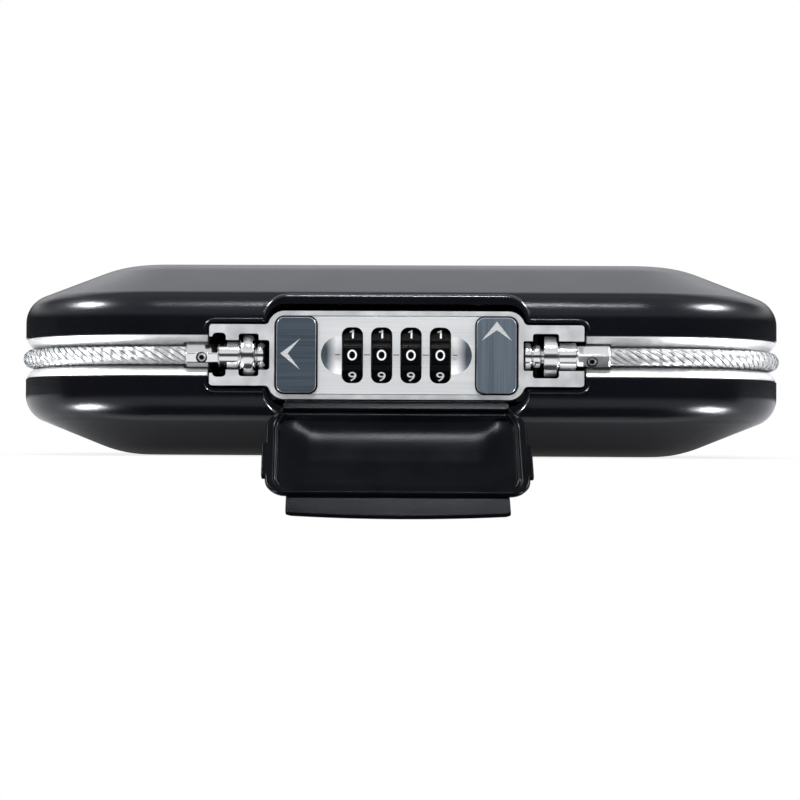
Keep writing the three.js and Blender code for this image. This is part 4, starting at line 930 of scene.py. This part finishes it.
def capPiece(s):
    look = {**caps[s], "depth": 0.12, "shadowSheet": 0.46}
    x, name, grow = s * button["x"], look["name"], look["shadowSheet"]
    wide, high, front = button["width"] / 2, button["height"] / 2, button["front"]
    body = tile(wide, high, button["radius"], (front, button["back"]), 12, x)
    soften(body, 0.45, 3)
    outline = [(x + px, pz) for px, pz in look["arrow"]]
    floor = front + look["depth"]
    cut(body, plate(outline, (front - over, floor)))
    arrow = plate(outline, (floor - 0.04, floor + 0.2))
    # painted shadow: a black sheet behind the cap, a little larger than it, stands in for the dark gap round
    # the cap; it rides with the button
    shadowSheet = tile(wide + grow, high + grow, button["radius"] + grow,
                 (button["back"] + 0.02, button["back"] + 0.25), 8, x)
    rider = (name + "_button", "button_cap")
    piece(shadowSheet, name + "ShadowSheet", "dial", *rider, (), 30)
    made = piece(body, name + "Cap", look["finish"], *rider, [name + "_button_cap"], 30, ["capEdge"])
    for face in made.data.polygons:
        if abs(face.normal.y) < 0.93 or face.center.y > (front + 0.3) * mm:
            face.material_index = 1
    piece(arrow, name + "Arrow", "bright", *rider, (), 30)


capPiece(-1)
capPiece(1)
print("buttons done")

# Rubber cover: the flap is a shallow pan, seen from inside as it hangs open
cover = {"y": -91.9, "z": -15.6, "bead": 1.35, "halfBead": 33.9, "open": 142 * deg, "halfWidth": 38.7,
         "skin": 1.7, "length": 32.5, "corner": 6, "shoulder": 7.5, "lip": 5.6, "lipHalf": 32.6,
         "lipBow": 0.95, "skew": 0.035, "tab": (13.7, 25.9), "tabOut": 1.1, "root": 33.3, "rootDepth": 9,
         "flat": 0.95, "flatTilt": 31 * deg, "sideRim": 4.1, "footRim": 1.2, "rimDepth": 1.3,
         "sideSlope": 11, "footSlope": 6}
# (place from the hinge, depth of the pan), then (distance from the edge, depth) over the rims
panLine = [(0, 0.5), (1.5, 0.6), (2.3, -0.1), (3.0, -0.35), (3.7, 0.0), (4.8, 0.95), (6.5, 1.75), (9, 2.4),
           (12, 2.75), (16, 2.95), (20.1, 3.0), (26.5, 1.9), (32.5, 0.9)]
sideRim = [(0, 0.55), (0.2, 0.1), (0.6, -0.15), (1.7, -0.1), (2.3, 0.15), (2.6, 0.45), (2.9, 0.15),
           (3.25, 0.05), (3.55, 0.3), (4.1, 1.3)]
footRim = [(0, -0.4), (0.15, -0.7), (0.4, -0.85), (0.75, -0.75), (1.2, 0.25)]
# where the flap's grid has its lines: from the hinge, from the foot and from the sides
flapRows = [0, 0.5, 1, 1.4, 1.7, 2, 2.3, 2.65, 3, 3.35, 3.7, 4.1, 4.5, 5, 5.7, 6.5, 7.5, 8.6, 10, 11.5]
flapRows += [13 + 1.3 * i for i in range(10)]
flapRows += [cover["length"] - e for e in (6.4, 6, 5.5, 5, 4.5, 4, 3.6, 3.2, 2.8, 2.4, 2, 1.7, 1.4, 1.2, 1,
                                           0.8, 0.6, 0.4, 0.25, 0.12, 0.03)]
flapEdges = [0, 0.12, 0.25, 0.4, 0.6, 1, 1.4, 1.7, 2, 2.3, 2.45, 2.6, 2.75, 2.9, 3.1, 3.25, 3.4, 3.55, 3.7,
             3.9, 4.1, 4.5, 5, 6, 7.5, 9, 11, 13, 15.5]


def smoothLine(points, steps):
    # Catmull-Rom through the given points
    line = []
    padded = [points[0], *points, points[-1]]
    for i in range(1, len(padded) - 2):
        p0, p1, p2, p3 = (Vector(p) for p in padded[i - 1:i + 3])
        for k in range(steps):
            t = k / steps
            line.append(0.5 * (2 * p1 + (p2 - p0) * t + (2 * p0 - 5 * p1 + 4 * p2 - p3) * t * t
                               + (3 * p1 - 3 * p2 + p3 - p0) * t ** 3))
    return [tuple(p) for p in line] + [tuple(Vector(points[-1]))]


def valueAt(line, place):
    for (a, va), (b, vb) in zip(line, line[1:]):
        if place <= b:
            return va + (vb - va) * max(0, (place - a) / (b - a))
    return line[-1][1]


def eased(t):
    t = min(1, max(0, t))
    return t * t * (3 - 2 * t)


def halfAt(u):
    # half the flap's width at a place from the hinge
    half, c = cover["halfWidth"], cover["corner"]
    if u < cover["shoulder"]:
        half = cover["halfBead"] + (half - cover["halfBead"]) * sin(u / cover["shoulder"] * pi / 2)
    low = cover["length"] - u
    return half - (c - sqrt(max(0, c * c - (c - low) ** 2)) if low < c else 0)


def flapDepths(x, u, pan):
    # depths of the flap's near and far face at one place
    c, rim, foot, shallow = (cover[key] for key in ("corner", "sideRim", "footRim", "rimDepth"))
    low = cover["length"] - u
    aside = halfAt(min(u, cover["length"] - c)) - abs(x)
    if aside < c and low < c:
        edge = c - hypot(c - aside, c - low)
        share = (c - aside) ** 2 / max(1e-6, (c - aside) ** 2 + (c - low) ** 2)
    else:
        edge, share = min(aside, low), 1 if aside < low else 0
    edge = max(0, edge)
    deep = valueAt(pan, u)
    bowl = shallow + (deep - shallow) * eased((aside - rim) / cover["sideSlope"]) * eased(
        (low - foot) / cover["footSlope"])
    if u < rim:
        bowl = min(bowl, deep)
    nearSide = valueAt(sideRim, edge) if edge < rim else bowl
    if u < 5 and edge < rim:  # the side rim rises from the hinge's line
        nearSide = deep + (nearSide - deep) * eased((u - 1) / 4)
    nearFoot = valueAt(footRim, edge) if edge < foot else bowl
    near = nearFoot + (nearSide - nearFoot) * share
    turn = min(1, edge / 2.4)
    far = 0.2 + (deep + cover["skin"] - 0.2) * sqrt(1 - (1 - turn) ** 2)
    return near, max(far, near + 0.7)


def flapSolid(middle=30):
    pan = smoothLine(panLine, 5)
    near, far = [], []
    for u in flapRows:
        half = halfAt(u)
        inner = half - flapEdges[-1]
        xs = [-(half - e) for e in flapEdges] + [inner * (2 * i / middle - 1) for i in range(1, middle)]
        xs += [half - e for e in reversed(flapEdges)]
        for x in xs:
            a, b = flapDepths(x, u, pan)
            near.append((x, -a, u))
            far.append((x, -b, u))
    return slab("flap", near, far, 2 * len(flapEdges) + middle - 1)


def lipSolid(columns=44, rows=10):
    # a tongue below the pan's foot; its free edge bows down in the middle and its ends turn up
    start, end = cover["length"] - 1.2, cover["length"] + cover["lip"]
    near, far = [], []
    for j in range(rows + 1):
        for i in range(columns + 1):
            s = 2 * i / columns - 1
            x = s * cover["lipHalf"] * (1 - 0.006 * (rows - j) / rows)
            bow = cover["lipBow"] * (0.5 - s * s) - 0.35 * max(0, abs(s) - 0.97) / 0.03
            u = start + (end + bow - start) * j / rows
            deep = 0.75 + (u - start) * 0.2
            near.append((x, -deep, u))
            far.append((x, -deep - cover["skin"], u))
    return soften(slab("lip", near, far, columns + 1), 0.3, 3, 50)


def coverPieces():
    swing = Matrix.Translation((0, cover["y"], cover["z"])) @ Matrix.Rotation(cover["open"], 4, "X")
    half, r = cover["halfBead"], cover["bead"]
    bead = turned("x", [(-half, r - 0.7), (-half + 0.3, r - 0.25), (-half + 0.9, r), (half - 0.9, r),
                        (half - 0.3, r - 0.25), (half, r - 0.7)], 0, 0, 32)
    flat = block(half + over, (-3 - cover["flat"], -cover["flat"]), 3)
    flat.data.transform(Matrix.Rotation(-cover["open"] - cover["flatTilt"], 4, "X"))
    cut(bead, flat)
    tabX = (cover["halfWidth"] - 1, cover["halfWidth"] + cover["tabOut"])
    tabs = [soften(block(ordered(s, tabX), (-1.9, 0.1), cover["tab"]), 0.5, 3) for s in (-1, 1)]
    flap = gathered(flapSolid(), lipSolid(), *tabs)
    # it hangs a little aslant, as rubber does
    for v in flap.data.vertices:
        v.co.x += cover["skew"] * v.co.z
    gathered(flap, bead)
    flap.data.transform(swing)
    piece(flap, "coverFlap", "rubber", "cover_flap", "rubber", ["dial_cover"], 50)
    front = cover["y"] + cover["bead"] + seat
    root = block(cover["root"], (front, front + cover["rootDepth"]),
                 (-gap["lockHeight"] + seat, -lock["halfHeight"] - seat))
    soften(root, 0.5, 3)
    piece(root, "coverRoot", "rubber", "base", "rubber", ["cover_root_strip"], 40)


coverPieces()
print("cover done")


# Hinges
def hingePieces(s):
    side = "right" if s > 0 else "left"
    name = side.capitalize()
    x, y, z, barrel, slot = s * hinge["x"], hinge["y"], hinge["z"], hinge["barrel"], hinge["slot"]
    leaf, arm = (hinge["leafFront"], hinge["leafBack"]), (hinge["armBottom"], hinge["armTop"])
    outer, inner = around(x, hinge["half"]), around(x, hinge["knuckle"] / 2 + seat)
    fixed = block(outer, leaf, (-channel["edge"], arm[1]))
    parts = [block(outer, (leaf[0], y - barrel - seat), arm)]
    for span in ((outer[0], inner[0]), (inner[1], outer[1])):
        parts += [block(span, (leaf[1], y), arm), block(span, (y - barrel, y), (arm[0], z)),
                  rod("x", barrel, span, y, z)]
    join(fixed, *parts)
    cut(fixed, rod("x", hinge["bore"], (outer[0] - over, outer[1] + over), y, z))
    soften(fixed, 0.3, 2, 45)
    piece(fixed, "baseHinge" + name, "steel", "base", "lock_steel", ["base_hinge_" + side])
    middle = around(x, hinge["knuckle"] / 2)
    moving = block(around(x, slot + hinge["wing"]), leaf, (0.6, hinge["lidTop"]))
    cut(moving, block(around(x, slot), (leaf[0] - over, leaf[1] + over), (-over, hinge["lidBridge"])))
    join(moving, block(middle, (leaf[0] + 0.2, y), (hinge["lidBridge"], hinge["lidTop"] - seat)),
         rod("x", barrel, middle, y, z))
    cut(moving, rod("x", hinge["bore"], (middle[0] - over, middle[1] + over), y, z))
    soften(moving, 0.3, 2, 45)
    piece(moving, "lidHinge" + name, "steel", "lid", "lock_steel", ["lid_hinge_" + side])
    pin = turned("x", [(outer[0], 1.1), (outer[0] + 0.4, hinge["pin"]), (outer[1] - 0.4, hinge["pin"]),
                       (outer[1], 1.1)], y, z)
    piece(pin, "hingePin" + name, "steel", "base", "lock_steel", ["hinge_pin_" + side])


hingePieces(-1)
hingePieces(1)
print("hinges done")

# What stays as it is in the frame only needs its finish
plainNodes = {"dial_axle", "detent_comb", "fence_bar", "lock_back_cover", "cable_anchor_pin", "lid_strike",
              "release_button_slider", "open_button_slider", "open_button_spring", "release_spring",
              "cable_bolt", "latch_bolt", "code_reset_slide"}
for node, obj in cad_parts.items():
    if "screw" in node or node in plainNodes:
        obj.data.materials.clear()
        # the lid strike is black steel as painted shade in the gap above the dial plate; the pins are black
        # steel too
        obj.data.materials.append(finishes["blackSteel" if "strike" in node or "pin" in node else "steel"])


# Studio: a white table, a white room and soft lamps
def stageWhite():
    # the table glows white for the camera, less so round the object, where its shadow stays
    look = {"near": 0.12, "far": 0.42, "least": 0.84, "mirrored": 0.11}
    material = bpy.data.materials.new("stageWhite")
    tree = Tree(material)
    shader = tree.fill(tree.nodes["Principled BSDF"], Base_Color=(0.85, 0.85, 0.86, 1), Roughness=0.7)
    place, rays = tree.add("NewGeometry").outputs, tree.add("LightPath").outputs
    away = tree.add("VectorMath", place["Position"], setup={"operation": "LENGTH"}).outputs["Value"]
    facing = tree.add("SeparateXYZ", place["Normal"]).outputs["Y"]
    shown = tree.sums("MAXIMUM", tree.ramp(away, look["least"], 1, (look["near"], look["far"])),
                      tree.ramp(facing, 1, 0, (-0.9, -0.5)))
    share = tree.sums("MULTIPLY_ADD", rays["Is Glossy Ray"], look["mirrored"],
                      tree.sums("MULTIPLY", rays["Is Camera Ray"], shown))
    glow = tree.add("Emission", (1, 1, 1, 1), 1)
    mix = tree.add("MixShader", share, shader.outputs[0], glow.outputs[0])
    tree.fill(tree.nodes["Material Output"], Surface=mix.outputs[0])
    return material


def addStage():
    table = block((-1.6, 1.6), (-0.072, 1.8), (-0.06, -0.0002))
    table.name = table.data.name = "table"
    table.data.materials.append(stageWhite())


def addWorld():
    # what metal and glass mirror: a white room, dark below and high behind, with a dark line at the level
    look = {"room": 0.92, "line": 0.04, "high": 0.75, "behind": 0.2, "bottom": 0.05}
    world = bpy.data.worlds.new("whiteRoom")
    tree = Tree(world)
    place = tree.add("SeparateXYZ", tree.add("TexCoord").outputs["Generated"]).outputs
    steep = tree.sums("ABSOLUTE", place["Z"])
    level = tree.ramp(steep, look["line"], 1, (0.15, 0.31))
    height = tree.ramp(place["Z"], 1, look["high"], (0.3, 0.6))
    behind = tree.sums("MAXIMUM", tree.ramp(place["Y"], 1, look["behind"], (0.25, 0.55)),
                       tree.ramp(steep, 1, 0, (0.3, 0.5)))
    below = tree.ramp(place["Z"], look["bottom"], 1, (-0.8, -0.68))
    bright = tree.sums("MULTIPLY", tree.sums("MULTIPLY", level, height),
                       tree.sums("MULTIPLY", behind, below))
    room = tree.add("Background", (0.95, 0.975, 1, 1), look["room"]).outputs[0]
    mirrored = tree.add("Background", (0.97, 0.985, 1, 1), bright).outputs[0]
    seen = tree.add("Background", (1, 1, 1, 1), 1).outputs[0]
    rays = tree.add("LightPath").outputs
    glossy = tree.sums("MAXIMUM", rays["Is Glossy Ray"], rays["Is Transmission Ray"])
    lit = tree.add("MixShader", glossy, room, mirrored).outputs[0]
    mix = tree.add("MixShader", rays["Is Camera Ray"], lit, seen)
    tree.fill(tree.nodes["World Output"], Surface=mix.outputs[0])
    bpy.context.scene.world = world


def addLamps():
    corner = {"size": (0.26, 0.16), "power": 15, "mirrored": True}
    lamps = {
        "backTop": {"at": (0, 0.8, 0.75), "size": (1.6, 0.6), "power": 3, "colour": (0.93, 0.94, 1)},
        "leftHigh": {"at": (-0.75, -0.2, 0.65), **corner},
        "rightHigh": {"at": (0.75, -0.2, 0.65), **corner},
        "leftLow": {"at": (-0.75, -0.2, -0.58), **corner},
        "rightLow": {"at": (0.75, -0.2, -0.58), **corner},
        "frontHigh": {"at": (0, -0.71, 0.95), "size": (0.22, 0.09), "power": 6.5},
    }
    for name, lamp in lamps.items():
        data = bpy.data.lights.new(name, "AREA")
        data.shape = "RECTANGLE"
        data.size, data.size_y = lamp["size"]
        data.energy = lamp["power"]
        data.color = lamp.get("colour", (1, 1, 1))
        obj = aimed(linked(name, data), lamp["at"], (0, 0, 0.03))
        obj.visible_diffuse = not lamp.get("mirrored")  # the corner lamps only give highlights


addStage()
addWorld()
addLamps()
bpy.context.scene.view_settings.view_transform = "Standard"
print("studio done")
